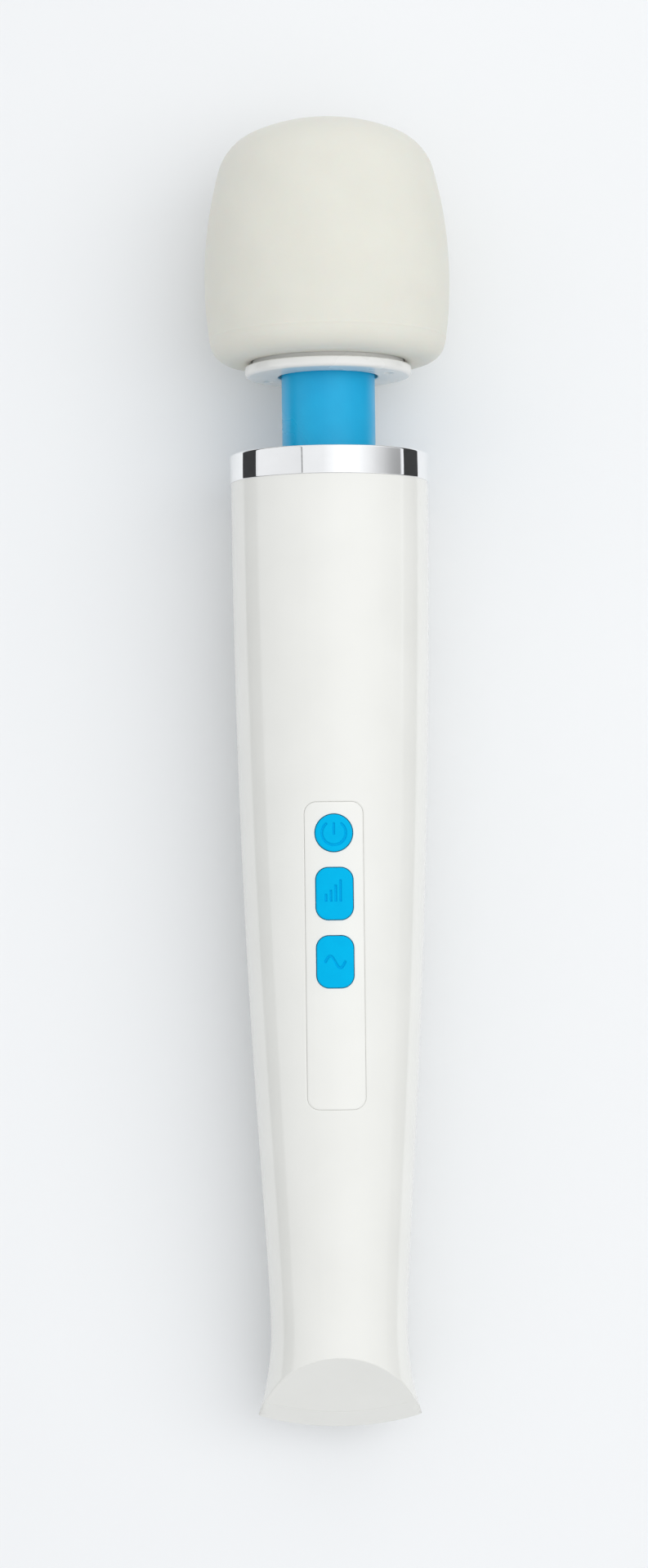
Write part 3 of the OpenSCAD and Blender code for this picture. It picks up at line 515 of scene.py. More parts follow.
def crease_height(x, inset):
    """Height on the facet where it meets the seat, at a distance x from the middle."""
    at = np.full_like(x, 5.0)
    for _ in range(60):
        at = seat_height(np.hypot(x, at - facet_drop(inset)))
    return at


def pull_in(points, amount):
    """Moves rim points towards the middle of the tail, to open a fine line at the joint."""
    away = CREASE_CENTRE - points[:, :2]
    away /= np.linalg.norm(away, axis=1)[:, None]
    return points + amount * np.column_stack([away, np.zeros(len(points))])


def skin_grids(inset):
    """Right half of the shells' skin as two grids: round the handle, and across the facet."""
    low, tip = facet_limits(inset)
    lower = tip - (tip - low) * LOWER_STEPS[::-1]
    upper = tip + (HANDLE_TOP - tip) * UPPER_STEPS[1:]
    rows = np.concatenate([lower, upper])
    start = facet_turn(rows, inset)
    start[rows >= tip - 1e-9] = 0
    turn = start[:, None] + (math.pi - start[:, None]) * ARC_STEPS[None, :]
    radius = (handle_radius(rows) - inset)[:, None]
    wrap = np.stack([radius * np.sin(turn), radius * np.cos(turn),
                     np.repeat(rows[:, None], len(ARC_STEPS), 1)], 2)
    edge = wrap[:len(lower), 0]
    x = edge[:, 0]
    foot = crease_height(x, inset)
    at = edge[:, 2][:, None] + (foot - edge[:, 2])[:, None] * FACET_STEPS[None, :]
    facet = np.stack([np.repeat(x[:, None], len(FACET_STEPS), 1), at - facet_drop(inset), at], 2)
    return wrap, facet


def round_facet_edge(wrap, facet, radius=0.6):
    """Moves skin near the facet's edge inwards, so that the edge is rounded."""
    edge = facet[:, 0].copy()
    line = np.vstack([edge, edge[::-1] * [-1, 1, 1]])
    fine = np.vstack([line[:-1] + (line[1:] - line[:-1]) * t for t in np.linspace(0, 0.9, 10)])
    flat = np.array([0, 1, -1]) / math.sqrt(2)
    for grid in (wrap, facet):
        points = grid.reshape(-1, 3)
        near = np.where(points[:, 2] < edge[:, 2].max() + 2)[0]
        for chunk in np.array_split(near, max(1, len(near) // 400)):
            gap = np.linalg.norm(points[chunk][:, None] - fine[None], axis=2)
            which, d = gap.argmin(1), gap.min(1)
            side = fine[which] * [1, 1, 0]
            side /= np.linalg.norm(side, axis=1)[:, None]
            middle = side + flat
            middle /= np.linalg.norm(middle, axis=1)[:, None]
            half = np.arccos(np.clip(middle @ flat, -1, 1))
            reach = radius * np.tan(half)
            most = radius * (1 / np.cos(half) - 1)
            fade = smooth((points[chunk][:, 2] - edge[:, 2].min()) / 3)
            points[chunk] -= middle * (most * fade * np.clip(1 - d / reach, 0, 1) ** 2)[:, None]
        grid[:] = points.reshape(grid.shape)


def mirrored(grid):
    return grid * np.array([-1, 1, 1])


def skin_patches():
    """Outer and inner skin of the shells, with the rims that join them, as grids of points."""
    outer, inner = skin_grids(0), skin_grids(WALL)
    round_facet_edge(*outer)
    wrap, facet = outer
    bevel_row = wrap[0] + (wrap[1] - wrap[0]) * RIM_HIGH / LOWER_STEP
    wrap = np.concatenate([[pull_in(wrap[0], RIM_IN)], [bevel_row], wrap[1:]])
    last = facet[:, -1]
    bevel = last + (facet[:, -2] - last) * 0.2
    facet = np.concatenate([facet[:, :-1], bevel[:, None], pull_in(last, RIM_IN)[:, None]], 1)
    facet[0, :-1] = bevel_row[0]
    top_rim = np.stack([wrap[-1], inner[0][-1]])
    low_rim = np.stack([wrap[0], inner[0][0]])
    facet_rim = np.stack([facet[:, -1], inner[1][:, -1]])
    return [wrap, facet], [inner[0], inner[1], top_rim, low_rim, facet_rim]


def patch_mesh(patches):
    points, faces = [], []
    for patch in patches:
        for grid in (patch, mirrored(patch)):
            faces += grid_faces(grid.shape[0], grid.shape[1], len(points))
            points += grid.reshape(-1, 3).tolist()
    return points, faces


def make_shells():
    outer, rest = skin_patches()
    skin = tool_object(*patch_mesh(outer))
    points, faces = patch_mesh(outer + rest)
    gap = 0.04
    made = []
    for name, low, high in (("front_shell_skin", gap, 60), ("back_shell_skin", -60, -gap)):
        shell = tool_object(points, faces)
        shell.name = shell.data.name = name
        combine(shell, box_tool((-60, low, -20), (60, high, 300)), "INTERSECT")
        made.append(shell)
    front, back = made
    combine(front, panel_cutter(), "DIFFERENCE")
    for x, at in SCREWS:
        combine(back, screw_boss(x, at), "UNION")
    for x, at in SCREWS:
        combine(back, screw_hole(x, at), "DIFFERENCE")
    for shell, node in ((front, "front_shell"), (back, "back_shell")):
        tidy_mesh(shell, 30)
        copy_normals(shell, skin.data)
        finish_piece(shell, "handle", "shell_ivory", node)
    bpy.data.objects.remove(skin)


def finish_piece(obj, body, slot, *nodes):
    """Gives a piece its finish and the body that it rides on, and hides the CAD nodes it stands for."""
    obj.data.materials.clear()
    obj.data.materials.append(MATERIALS[slot])
    obj.data.polygons.foreach_set("material_index", [0] * len(obj.data.polygons))
    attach(obj, body)
    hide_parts(*nodes)
    return obj


SCREWS = [(0, 24), (-14.8, 112), (14.8, 112), (0, 173.4), (-20.2, 204), (20.2, 204)]


def back_face(x, at):
    return -math.sqrt(handle_radius(at) ** 2 - x * x)


def screw_boss(x, at):
    boss = drill(x, at, 0, [(3.2, -0.05), (3.2, -28)], count=40)
    at_rows = np.linspace(at - 5, at + 5, 12)
    profile = [(0, at - 5)] + [(handle_radius(a) - 1.2, a) for a in at_rows] + [(0, at + 5)]
    combine(boss, tool_object(*revolve(profile, 128, closed=False)), "INTERSECT")
    return boss


def screw_hole(x, at):
    """Hole for a shell screw's shank, and the wider one that its head goes in by."""
    mouth = min(back_face(abs(x) - 2.2, at), back_face(abs(x) + 2.2, at), back_face(x, at))
    return drill(x, at, 0, [(1.3, 1), (1.3, -5), (2.2, -5), (2.2, mouth - 4)], count=48)


# ---------- tail cap ----------

CAP_CENTRE = np.array([0, -14.0])
# The big ball that rounds the cap's front bevel: its middle (front, at) and its squared radius.
BALL = (-BALL_SHIFT / math.sqrt(2), SEAT_LOW + SEAT_R + BALL_SHIFT / math.sqrt(2))
BALL_R2 = (BALL[0] ** 2 + BALL[1] ** 2 - (SEAT_LOW + SEAT_R) ** 2 + SEAT_R**2
           - 2 * BALL_SHIFT * FACET_DROP / math.sqrt(2))


def reach_circle(direction, middle, radius):
    """How far from the cap's centre, along direction, a circle with this middle is."""
    offset = CAP_CENTRE - np.array([0, middle])
    b = direction @ offset
    return -b + math.sqrt(max(b * b - offset @ offset + radius * radius, 0))


def cap_reach(direction, at):
    flare = reach_circle(direction, 0, float(handle_radius(max(at, TAIL_EDGE))))
    ball = reach_circle(direction, BALL[0], math.sqrt(BALL_R2 - (at - BALL[1]) ** 2))
    return min(flare, ball)


def cap_point(direction, reach, at):
    return np.array([*(CAP_CENTRE + direction * reach), at])


def cap_column(start):
    """Points from the crease down the cap's side, round its rim and in to the middle."""
    away = start[:2] - CAP_CENTRE
    direction = away / np.linalg.norm(away)
    low, high = -1.0, start[2]
    for _ in range(40):
        middle = (low + high) / 2
        p = cap_point(direction, cap_reach(direction, middle), middle)
        low, high = (low, middle) if middle > dome_height(math.hypot(*p[:2])) else (middle, high)
    rim_at, rim_reach = high, cap_reach(direction, high)
    side = [cap_point(direction, cap_reach(direction, a), a)
            for a in start[2] + (rim_at - start[2]) * edge_steps(0.12, 1.4, 0.7, 4.6)]
    side[0] = start
    dome = [cap_point(direction, rim_reach * w, 0) for w in 1 - edge_steps(0.4, 1.3, 2.2, 20)]
    for p in dome:
        p[2] = dome_height(math.hypot(*p[:2]))
    corner, before, after = side[-1], side[-2], dome[1]
    a = corner + (before - corner) * min(1, 0.45 / np.linalg.norm(before - corner))
    b = corner + (after - corner) * min(1, 0.45 / np.linalg.norm(after - corner))
    bend = [(1 - t) ** 2 * a + 2 * t * (1 - t) * corner + t * t * b for t in np.linspace(0, 1, 7)]
    top = pull_in(np.array([start]), RIM_IN)[0]
    return np.array([top] + [start + (side[1] - start)] + side[2:-1] + bend + dome[1:])


def make_tail_cap():
    wrap, facet = skin_grids(0)
    starts = np.vstack([facet[::-1, -1], wrap[0][1:]])
    outer = np.array([cap_column(p) for p in starts])
    tops = outer[:, 0]
    inner = []
    for w in np.linspace(1, 0, 9):
        ring = tops.copy()
        ring[:, :2] = CAP_CENTRE + (tops[:, :2] - CAP_CENTRE) * w
        if w < 1:
            ring[:, 2] = seat_height(np.hypot(ring[:, 0], ring[:, 1]))
        inner.append(ring)
    inner = np.array(inner).transpose(1, 0, 2)
    skin = tool_object(*patch_mesh([outer]))
    cap = tool_object(*patch_mesh([outer, inner]))
    cap.name = cap.data.name = "tail_cap_moulded"
    low = float(dome_height(JACK_FRONT))
    mouth = [(4.2, low - 3), (4.2, low), (4.05, low + 0.2), (4.05, 20)]
    combine(cap, drill(0, 0, JACK_FRONT, mouth, along=True, count=64), "DIFFERENCE")
    for x, front in CAP_SCREWS:
        low = float(dome_height(math.hypot(x, front)))
        hole = [(2.75, low - 3), (2.75, low + 0.02), (2.4, low + 0.35), (2.4, 2.6), (1.3, 2.6),
                (1.3, 20)]
        combine(cap, drill(x, 0, front, hole, along=True, count=48), "DIFFERENCE")
    tidy_mesh(cap, 30)
    copy_normals(cap, skin.data)
    finish_piece(cap, "handle", "shell_ivory", "tail_cap")
    bpy.data.objects.remove(skin)


# ---------- controls ----------

PANEL = (0, 123.6, 14.8, 77.8, 3)
POWER = (0, 154.7, 9.4, 9.4, 4.7)
INTENSITY = (0, 139.4, 9.3, 13.1, 3.1)
PATTERN = (0, 122.2, 9.3, 13.1, 3.1)
BUTTON_GAP = 0.14
BUTTON_PROUD = 0.5
PANEL_PROUD = 0.1
GROOVE_SLOPE = 0.4
SHELL_EDGE, PANEL_EDGE, HOLE_EDGE = 0.75, 0.5, 0.2
BUTTON_EDGE = 0.36
ICON_DEPTH = 0.4
ICON_LINE = 0.5


def outline(shape, offset, step=0.5):
    """Points round a rounded rectangle (x, at, width, length, corner), moved out by offset."""
    cx, cy, w, h, r = shape
    halves = (w / 2 - r, h / 2 - r)
    points = []
    for sx, sy, start in ((1, 1, 0), (-1, 1, 90), (-1, -1, 180), (1, -1, 270)):
        turns = np.radians(np.linspace(start, start + 90, 15))
        corner = [(cx + sx * halves[0] + (r + offset) * math.cos(t),
                   cy + sy * halves[1] + (r + offset) * math.sin(t)) for t in turns]
        points += corner
        side = halves[1] if start in (90, 270) else halves[0]
        count = int(2 * side / step)
        if count > 1:
            end = np.array(corner[-1])
            ahead = {0: (-1, 0), 90: (0, -1), 180: (1, 0), 270: (0, 1)}[start]
            for k in range(1, count):
                points.append(tuple(end + np.array(ahead) * 2 * side * k / count))
    return points


def distance_out(shape, x, at):
    """Signed distance from a rounded rectangle's edge, positive outside."""
    cx, cy, w, h, r = shape
    qx, qy = np.abs(x - cx) - (w / 2 - r), np.abs(at - cy) - (h / 2 - r)
    outside = np.hypot(np.maximum(qx, 0), np.maximum(qy, 0))
    return outside + np.minimum(np.maximum(qx, qy), 0) - r


def front_face(x, at, rise):
    return np.sqrt(np.square(handle_radius(at) + rise) - np.square(x))


def panel_cutter():
    """Cuts the panel's opening in the front shell, with a rounded edge."""
    edge, clear = SHELL_EDGE, 0.02
    rings = [(clear, -7), (clear, -0.9)]
    rings += [(clear + edge * (1 - math.cos(t)), -edge * GROOVE_SLOPE * (1 - math.sin(t)))
              for t in np.radians(np.linspace(0, 84, 8))]
    rings += [(clear + edge + 0.25, 0.12), (clear + edge + 0.3, 4)]
    points = []
    for offset, rise in rings:
        ring = np.array(outline(PANEL, offset, 1.2))
        points += [(x, front_face(x, a, rise), a) for x, a in ring]
    count = len(points) // len(rings)
    faces = grid_faces(len(rings), count, loop=True)
    for first, rise in ((0, -7), (count * (len(rings) - 1), 4)):
        points.append((0, float(front_face(0, PANEL[1], rise)), PANEL[1]))
        faces += [(first + j, first + (j + 1) % count, len(points) - 1) for j in range(count)]
    return tool_object(points, faces)


def raised_plate(name, shape, holes, spacing, top, low, slot, rings):
    """A moulded plate that follows the handle: top and low give its height at (x, at)."""
    flat, edges = [], []
    for border, sign in [(shape, -1)] + [(h, 1) for h in holes]:
        for offset in rings:
            ring = outline(border, sign * offset, spacing)
            first = len(flat)
            flat += ring
            edges += [(first + j, first + (j + 1) % len(ring)) for j in range(len(ring))]
    reach = rings[-1] + spacing * 0.4
    _, cy, w, h, _ = shape
    xs = np.arange(-w / 2, w / 2, spacing) + spacing / 2
    ys = np.arange(cy - h / 2, cy + h / 2, spacing) + spacing / 2
    gx, gy = (v.ravel() for v in np.meshgrid(xs, ys))
    inside = distance_out(shape, gx, gy) < -reach
    for hole in holes:
        inside &= distance_out(hole, gx, gy) > reach
    flat += list(zip(gx[inside], gy[inside]))
    done = delaunay_2d_cdt([Vector(p) for p in flat], edges, [], 0, 1e-6, False)
    co = np.array([tuple(v) for v in done[0]])
    triangles = np.array([tuple(f) for f in done[2]])
    middle = co[triangles].mean(1)
    keep = distance_out(shape, middle[:, 0], middle[:, 1]) < 0
    for hole in holes:
        keep &= distance_out(hole, middle[:, 0], middle[:, 1]) > 0
    triangles = triangles[keep]
    upper = np.column_stack([co[:, 0], top(co[:, 0], co[:, 1]), co[:, 1]])
    lower = np.column_stack([co[:, 0], low(co[:, 0], co[:, 1]), co[:, 1]])
    count = len(co)
    faces = [tuple(t) for t in triangles] + [tuple(t[::-1] + count) for t in triangles]
    sides = [(int(t[k]), int(t[(k + 1) % 3])) for t in triangles for k in range(3)]
    seen = set(sides)
    faces += [(b, a, a + count, b + count) for a, b in sides if (b, a) not in seen]
    return new_object(name, np.vstack([upper, lower]), faces, slot, 40)


def rounded_edge(distance, radius):
    """How far an edge of this radius drops at this distance inside it."""
    t = np.clip(1 - distance / radius, 0, 1)
    return radius * (1 - np.sqrt(1 - t * t))


EDGE_RINGS = (0, 0.03, 0.08, 0.15, 0.24, 0.36, 0.5)


def make_panel():
    holes = [(x, a, w + 2 * BUTTON_GAP, h + 2 * BUTTON_GAP, r + BUTTON_GAP)
             for x, a, w, h, r in (POWER, INTENSITY, PATTERN)]

    def top(x, at):
        drop = rounded_edge(-distance_out(PANEL, x, at), PANEL_EDGE) * GROOVE_SLOPE
        for hole in holes:
            drop = np.maximum(drop, rounded_edge(distance_out(hole, x, at), HOLE_EDGE))
        return front_face(x, at, PANEL_PROUD - drop)

    def low(x, at):
        return front_face(x, at, -3.4)

    panel = raised_plate("control_panel_moulded", PANEL, holes, 0.55, top, low, "panel_ivory",
                         EDGE_RINGS)
    finish_piece(panel, "handle", "panel_ivory", "control_panel")


def icon_power(x, y):
    """Distance from a broken ring with a bar in its gap."""
    radius, gap = 3, 40
    r, turn = np.hypot(x, y), np.degrees(np.arctan2(x, y))
    ring = np.abs(r - radius) - ICON_LINE / 2
    end = radius * math.sin(math.radians(gap)), radius * math.cos(math.radians(gap))
    ends = np.minimum(np.hypot(x - end[0], y - end[1]),
                      np.hypot(x + end[0], y - end[1])) - ICON_LINE / 2
    ring = np.where(np.abs(turn) < gap, ends, ring)
    return np.minimum(ring, box_out(x, y, 0, 1.1, ICON_LINE, 2.9))


def box_out(x, y, cx, cy, w, h):
    qx, qy = np.abs(x - cx) - w / 2, np.abs(y - cy) - h / 2
    return np.hypot(np.maximum(qx, 0), np.maximum(qy, 0)) + np.minimum(np.maximum(qx, qy), 0)


def icon_bars(x, y):
    heights = (1.8, 2.8, 4.1, 5.4)
    bars = [box_out(x, y, (i - 1.75) * 1.22, -1.9 + h / 2, ICON_LINE, h)
            for i, h in enumerate(heights)]
    return np.minimum.reduce(bars)


def icon_wave(x, y):
    t = np.linspace(-0.5, 0.5, 61)
    line = np.stack([5 * t, 1.5 * np.sin(2 * math.pi * (t + 0.5))], 1)
    a, b = line[:-1], line[1:]
    p = np.stack([x, y], 1)[:, None]
    share = np.clip(((p - a) * (b - a)).sum(2) / ((b - a) ** 2).sum(1), 0, 1)
    return np.linalg.norm(p - a - share[..., None] * (b - a), axis=2).min(1) - ICON_LINE / 2


def make_button(name, shape, icon, body, node):
    x0, at0, w, h, _ = shape
    flange = handle_radius(at0 - h / 2 - 0.8) - WALL - 1.2
    deep = math.sqrt(flange**2 - (w / 2 + 0.8) ** 2) - 0.3

    def top(x, at):
        drop = rounded_edge(-distance_out(shape, x, at), BUTTON_EDGE)
        cut = ICON_DEPTH * smooth(0.5 - icon(x - x0, at - at0) / 0.22)
        return front_face(x, at, BUTTON_PROUD - drop - cut)

    def low(x, at):
        return np.full_like(x, deep - 1)

    key = raised_plate(name, shape, [], 0.16, top, low, "button_blue", EDGE_RINGS)
    rim = (x0, at0, w + 1.6, h + 1.6, shape[4] + 0.8)
    foot = raised_plate("foot", rim, [], 0.8, lambda x, at: np.full_like(x, deep), low,
                        None, (0, 0.2))
    combine(key, foot, "UNION")
    combine(key, drill(0, at0, 0, [(2, 16.3), (2, deep - 0.4)], count=32), "UNION")
    tidy_mesh(key, 40)
    finish_piece(key, body, "button_blue", node)


# ---------- ring, retainer, neck ----------

def make_ring():
    corners = [(22.5, 245), (RING_R, 245), (RING_R, RING_TOP), (19.5, RING_TOP), (19.5, 251.3),
               (22.5, 251.3)]
    profile = fillet(corners, [0, 0.3, 0.55, 0.3, 0.2, 0], 6)
    ring = turned("chrome_ring_polished", profile, 256, "ring_chrome")
    finish_piece(ring, "handle", "ring_chrome", "chrome_ring")


def make_retainer():
    corners = [(NECK_R + 0.3, 249.8), (22.3, 249.8), (22.3, 251.2), (NECK_R + 0.3, 251.2)]
    part = turned("neck_retainer_moulded", fillet(corners, [0.2, 0, 0, 0.45], 5), 160,
                  "retainer_ivory")
    finish_piece(part, "handle", "retainer_ivory", "neck_retainer")


def sleeve_profile(low, high, lower):
    """One half of the sleeve: a straight wall with a flange at its outer end."""
    inner = [(NECK_IN_R, a) for a in np.linspace(low, high, 26)]
    if lower:
        outer = [(NECK_R, a) for a in np.linspace(high, low + 1.8, 24)]
        outer += [(NECK_R + 0.08, low + 1.6), (NECK_R + 0.3, low + 1.5), (FLANGE_R, low + 1.5),
                  (FLANGE_R, low)]
    else:
        outer = [(FLANGE_R, high), (FLANGE_R, high - 1.5), (NECK_R + 0.3, high - 1.5),
                 (NECK_R + 0.08, high - 1.6)]
        outer += [(NECK_R, a) for a in np.linspace(high - 1.8, low, 24)]
    return inner + outer


def halves(name, low, high):
    """Name, whether lower, start and end of the halves of a piece that bends with the neck."""
    return ((name + "_lower", True, low, PIVOT_AT), (name + "_upper", False, PIVOT_AT, high))


def blend_half(obj, lower, *nodes):
    """Hides the CAD nodes that a half of a neck piece stands for, and bakes the half's place into its mesh."""
    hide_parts(*nodes)
    if lower:
        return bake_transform(obj, "handle", "neck", start=spot(0, 0, 250.5), end=spot(0, 0, PIVOT_AT))
    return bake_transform(obj, "neck", "head", start=spot(0, 0, PIVOT_AT), end=spot(0, 0, 274.5))


def make_sleeve():
    low, high = 248, PLATE_TOP + 1.8
    for name, lower, start, end in halves("neck_sleeve", low, high):
        half = turned(name, sleeve_profile(start, end, lower), 128, "neck_blue", 50)
        blend_half(half, lower, "neck_sleeve")


def tube(name, path, radius, sides, slot, sharp=60):
    """A round bar along a path of points, closed at both ends."""
    path = np.asarray(path, float)
    heading = np.gradient(path, axis=0)
    heading /= np.linalg.norm(heading, axis=1)[:, None]
    side = np.cross(heading, [0, 0, 1])
    side /= np.linalg.norm(side, axis=1)[:, None]
    up = np.cross(side, heading)
    points = [tuple(p + radius * (s * math.cos(t) + u * math.sin(t)))
              for p, s, u in zip(path, side, up) for t in whole_turn(sides)]
    return new_object(name, points, capped_faces(len(path), sides), slot, sharp)


def make_spring():
    low, high, turns, radius, wire = 248.9, 276.2, 9.5, 8.3, 0.9
    for name, lower, start, end in halves("neck_spring", low, high):
        at = np.linspace(start, end, int(30 * turns * (end - start) / (high - low)))
        turn = 2 * math.pi * turns * (at - low) / (high - low)
        path = np.stack([radius * np.cos(turn), -radius * np.sin(turn), at], 1)
        blend_half(tube(name, path, wire, 12, "spring_steel"), lower, "neck_spring")


def make_flexible_shaft():
    """A drive shaft wound from wire, so its side has fine slanting grooves."""
    sides = 96
    for name, lower, start, end in halves("flexible_shaft", 241.4, 280.6):
        rows = np.linspace(start, end, int((end - start) / 0.22))
        points = []
        for a in rows:
            for t in whole_turn(sides):
                r = 2.2 - 0.16 * abs(math.sin(4 * t - 1.1 * a)) ** 6
                points.append((r * math.sin(t), r * math.cos(t), a))
        shaft = new_object(name, points, capped_faces(len(rows), sides), "spring_steel", 60)
        blend_half(shaft, lower, "flexible_shaft")


# ---------- head ----------

def make_plate():
    top_arc = arc((PLATE_R - 0.5, PLATE_TOP - 0.5), 0.5, 0, 90, 6)
    low_arc = arc((PLATE_R - 1.2, PLATE_LOW + 1.2), 1.2, -90, 0, 10)
    profile = np.vstack([
        fillet([(12.9, PLATE_TOP), (12.9, PLATE_LOW), (19.6, PLATE_LOW)], [0, 0.4, 0], 5)[:-1],
        low_arc, top_arc,
        [(19.6, PLATE_TOP), (19.6, 278.4), (18.6, 278.4), (18.6, PLATE_TOP)]])
    points, faces = revolve(profile, 224)
    plate = tool_object(points, faces)
    plate.name = plate.data.name = "head_base_plate_moulded"
    for turn in (-23.5, 156.5):
        x = 16.9 * math.cos(math.radians(turn))
        front = -16.9 * math.sin(math.radians(turn))
        hole = [(1.5, PLATE_LOW - 1), (1.5, PLATE_LOW + 0.02), (1.18, PLATE_LOW + 0.1),
                (1, PLATE_LOW + 0.32), (1, PLATE_TOP + 1)]
        combine(plate, drill(x, 0, front, hole, along=True, count=40), "DIFFERENCE")
    tidy_mesh(plate, 30)
    finish_piece(plate, "head", "plate_white", "head_base_plate")


def make_cover():
    """The silicone cover: a thick moulded cap with a rolled lip and a fine mould line."""
    outer = head_side(0)
    bead_at, bead_h, bead_w = 282.2, 0.06, 0.3
    near = arc(BARREL, BARREL_R, -8.6, -7.7, 24)
    keep = outer[(outer[:, 1] < near[0, 1]) | (outer[:, 1] > near[-1, 1])]
    outer = np.vstack([keep, near])
    outer = outer[np.argsort(outer[:, 1], kind="stable")]
    low = outer[outer[:, 1] <= HEAD_LOW + 1e-6]
    outer = np.vstack([low[np.argsort(low[:, 0])], outer[outer[:, 1] > HEAD_LOW + 1e-6]])
    rise = bead_h * np.exp(-((outer[:, 1] - bead_at) / bead_w) ** 2)
    outer = outer + np.stack([rise, np.zeros(len(outer))], 1)
    inner = head_side(3)[::-1]
    lip = fillet([(26, HEAD_LOW + 3), (19.9, HEAD_LOW + 3), (19.9, HEAD_LOW), (26, HEAD_LOW)],
                 [0, 0.5, 0.9, 0], 6)[1:-1]
    outer[-1, 0] = inner[0, 0] = 0
    points, faces = revolve(np.vstack([outer, inner, lip]), 256)
    cover = new_object("head_cover_silicone", points, faces, "cover_silicone", 50)
    finish_piece(cover, "head", "cover_silicone", "head_cover")


# ---------- screws ----------

SHANK_R = 1.1
SLOT_LONG, SLOT_WIDE, SLOT_DEEP = 1.25, 0.22, 0.55


def screw_profile(head_r, head_h, length):
    """Profile (radius, depth) of a screw with a threaded shank, from its head's outer face."""
    root = SHANK_R * 0.8
    profile = [(head_r * 0.55, 0), (head_r * 0.86, head_h * 0.18),
               (head_r, head_h * 0.5), (head_r, head_h), (root, head_h)]
    depth = head_h
    while depth < head_h + length - 0.6:
        profile += [(root, depth), (SHANK_R, depth + 0.2), (root, depth + 0.4)]
        depth += 0.45
    profile += [(SHANK_R * 0.3, head_h + length)]
    return profile


def slot_tools(x, front, at, along):
    """The two cutters of the cross in a screw's head."""
    for a, b in ((SLOT_LONG, SLOT_WIDE), (SLOT_WIDE, SLOT_LONG)):
        if along:
            yield box_tool((x - a, front - b, at - 1), (x + a, front + b, at + SLOT_DEEP))
        else:
            yield box_tool((x - a, front - 1, at - b), (x + a, front + SLOT_DEEP, at + b))


def make_screws(name, node, places, along, head_r, head_h, length):
    """One object of several screws. Each place is the middle of a head's outer face."""
    made = None
    profile = screw_profile(head_r, head_h, length)
    for x, front, at in places:
        start = at if along else front
        shape = [(r, start + d) for r, d in profile]
        where = (x, 0, front) if along else (x, at, 0)
        one = drill(*where, shape, along=along, count=32)
        for tool in slot_tools(x, front, at, along):
            combine(one, tool, "DIFFERENCE")
        if made is None:
            made = one
        else:
            combine(made, one, "UNION")
    made.name = made.data.name = name
    tidy_mesh(made, 30)
    finish_piece(made, "handle", "screw_steel", node)


# ---------- set, light and camera ----------

CAMERA_X, CAMERA_AWAY, CAMERA_AT = -2.31, 742, 167
CAMERA_ROLL = 0.674
LENS = 65.6


def make_floor():
    size = 4.0
    mesh = bpy.data.meshes.new("floor")
    mesh.from_pydata([(-size, -size, 0), (size, -size, 0), (size, size, 0), (-size, size, 0)],
                     [], [(0, 1, 2, 3)])
    floor = bpy.data.objects.new("floor", mesh)
    bpy.context.scene.collection.objects.link(floor)
    floor.data.materials.append(material("floor_paper", (0.842, 0.853, 0.862), (0.83, 0.841, 0.85),
                                         (0.6, 0.75), scale=6, specular=0.2))
    floor.location.z = -0.0002


def make_card(name, x, low, high, colour):
    """A dark strip beside the wand that only reflections see."""
    mesh = bpy.data.meshes.new(name)
    end = 0.35
    mesh.from_pydata([(x, -end, low), (x, end, low), (x, end, high), (x, -end, high)],
                     [], [(0, 1, 2, 3)])
    card = bpy.data.objects.new(name, mesh)
    bpy.context.scene.collection.objects.link(card)
    finish = bpy.data.materials.new(name)
    finish.use_nodes = True
    shader = finish.node_tree.nodes["Principled BSDF"]
    shader.inputs["Base Color"].default_value = (*colour, 1)
    shader.inputs["Roughness"].default_value = 0.9
    card.data.materials.append(finish)
    for ray in ("camera", "diffuse", "transmission", "shadow", "volume_scatter"):
        setattr(card, "visible_" + ray, False)


# The sky's brightness from left (0) to right (1), with a thin dark joint for the ring to show.
SKY = [(0.0, 0.84), (0.14, 0.80), (0.234, 0.78), (0.238, 0.25), (0.244, 0.25),
       (0.248, 0.84), (0.44, 0.86), (0.57, 1.04), (0.76, 1.06), (0.88, 0.82),
       (0.95, 0.60), (1.0, 0.34)]
SKY_TINT = (0.985, 0.995, 1.01)
# Past the tail, between these heights of the sky's direction along Y, its strength falls.
TAIL_SKY, TAIL_STRENGTH = (-1, -0.7), (0.35, 1.05)
BACKDROP = (0.80, 0.81, 0.825)
LAMP_AT, LAMP_SIZE, LAMP_WATTS = (0.46, 0.1, 0.95), (0.7, 1.3), 3.2


def make_world():
    """A studio sky: bright overhead, darker to the right and past the tail, with a thin joint."""
    world = bpy.data.worlds.new("studio")
    bpy.context.scene.world = world
    world.use_nodes = True
    nodes, links = world.node_tree.nodes, world.node_tree.links
    where = nodes.new("ShaderNodeTexCoord")
    split = nodes.new("ShaderNodeSeparateXYZ")
    links.new(where.outputs["Generated"], split.inputs["Vector"])
    level = map_range(nodes, -1, 1)
    links.new(split.outputs["X"], level.inputs["Value"])
    ramp = nodes.new("ShaderNodeValToRGB")
    ramp.color_ramp.elements.remove(ramp.color_ramp.elements[1])
    for i, (share, value) in enumerate(SKY):
        stop = ramp.color_ramp.elements[0] if i == 0 else ramp.color_ramp.elements.new(share)
        stop.position = share
        stop.color = (*(value * tint for tint in SKY_TINT), 1)
    links.new(level.outputs["Result"], ramp.inputs["Fac"])
    ray = nodes.new("ShaderNodeLightPath")
    seen = nodes.new("ShaderNodeMix")
    seen.data_type = "RGBA"
    seen.inputs["B"].default_value = (*BACKDROP, 1)
    links.new(ray.outputs["Is Camera Ray"], seen.inputs["Factor"])
    links.new(ramp.outputs["Color"], seen.inputs["A"])
    links.new(seen.outputs["Result"], nodes["Background"].inputs["Color"])
    dim = map_range(nodes, *TAIL_SKY, *TAIL_STRENGTH)
    links.new(split.outputs["Y"], dim.inputs["Value"])
    links.new(dim.outputs["Result"], nodes["Background"].inputs["Strength"])


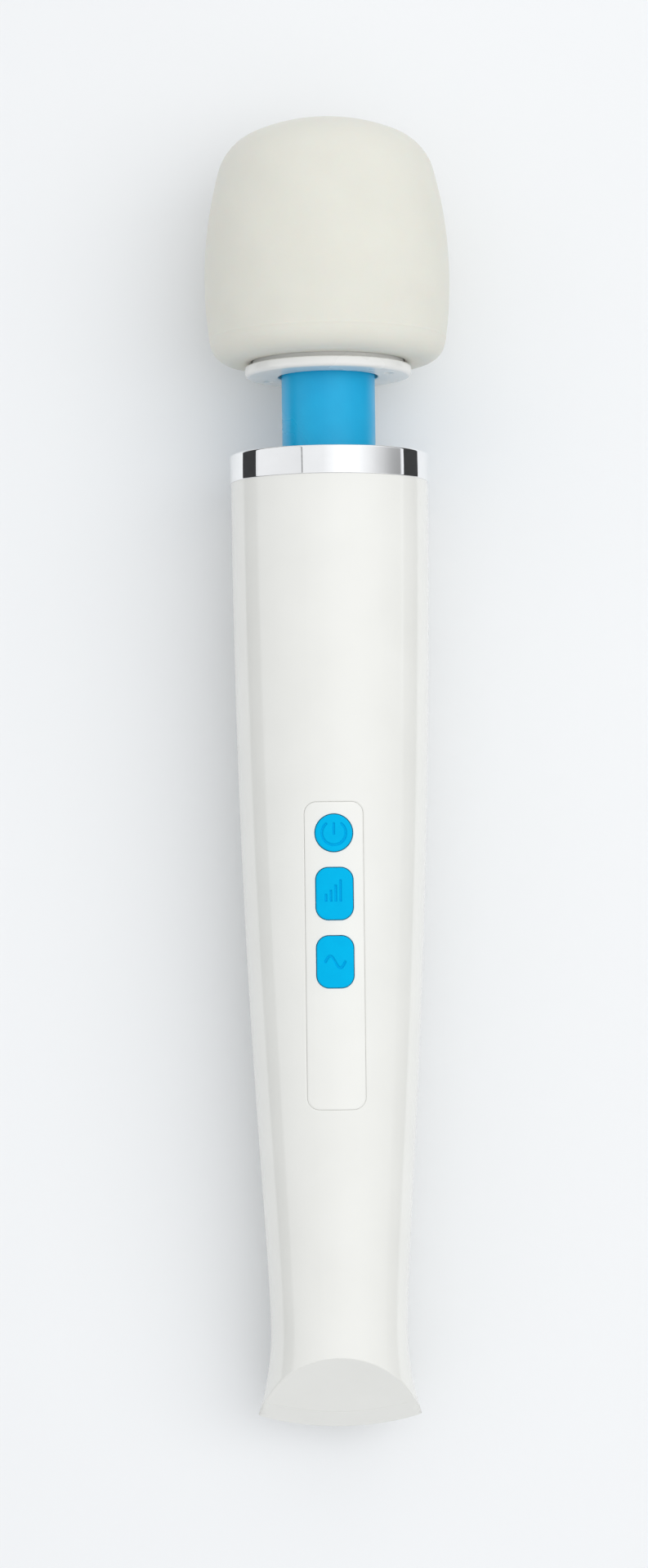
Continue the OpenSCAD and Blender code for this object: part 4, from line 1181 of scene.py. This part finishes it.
def make_lights():
    light = bpy.data.lights.new("softbox", "AREA")
    light.shape = "RECTANGLE"
    light.size, light.size_y = LAMP_SIZE
    light.energy = LAMP_WATTS
    light.color = (1.0, 0.995, 0.985)
    lamp = bpy.data.objects.new("softbox", light)
    lamp.visible_glossy = False
    bpy.context.scene.collection.objects.link(lamp)
    lamp.location = LAMP_AT
    aim = spot(0, 0, 190) - lamp.location
    lamp.rotation_euler = aim.to_track_quat("-Z", "Y").to_euler()


def make_camera():
    camera = bpy.data.cameras.new("camera")
    camera.lens = LENS
    camera.sensor_width = 36
    camera.clip_start, camera.clip_end = 0.05, 20
    eye = bpy.data.objects.new("camera", camera)
    bpy.context.scene.collection.objects.link(eye)
    roll = math.radians(CAMERA_ROLL)
    right = Vector((1, 0, 0)) * math.cos(roll) - AXIS * math.sin(roll)
    up = AXIS * math.cos(roll) + Vector((1, 0, 0)) * math.sin(roll)
    turn = Matrix((right, up, FRONT)).transposed()
    eye.matrix_world = Matrix.Translation(spot(CAMERA_X, CAMERA_AWAY, CAMERA_AT)) @ turn.to_4x4()
    bpy.context.scene.camera = eye


make_camera()
make_floor()
make_world()
make_lights()
bpy.context.scene.view_settings.view_transform = "Standard"
dress_cad()
make_shells()
make_tail_cap()
make_panel()
make_button("power_button_cap", POWER, icon_power, "power_key", "power_button")
make_button("intensity_button_cap", INTENSITY, icon_bars, "intensity_key", "intensity_button")
make_button("pattern_button_cap", PATTERN, icon_wave, "pattern_key", "pattern_button")
make_ring()
make_retainer()
make_sleeve()
make_spring()
make_flexible_shaft()
make_plate()
make_cover()
make_screws("shell_screws_crossed", "shell_screws", [(x, -6.6, a) for x, a in SCREWS],
            along=False, head_r=2.1, head_h=1.6, length=13.6)
make_screws("cap_screws_crossed", "cap_screws", [(x, f, 1.2) for x, f in CAP_SCREWS],
            along=True, head_r=2.2, head_h=1.4, length=12)
make_card("left_card", -0.075, 0.013, 0.044, (0.04, 0.04, 0.042))
make_card("right_card", 0.085, 0.0, 0.041, (0.05, 0.05, 0.05))
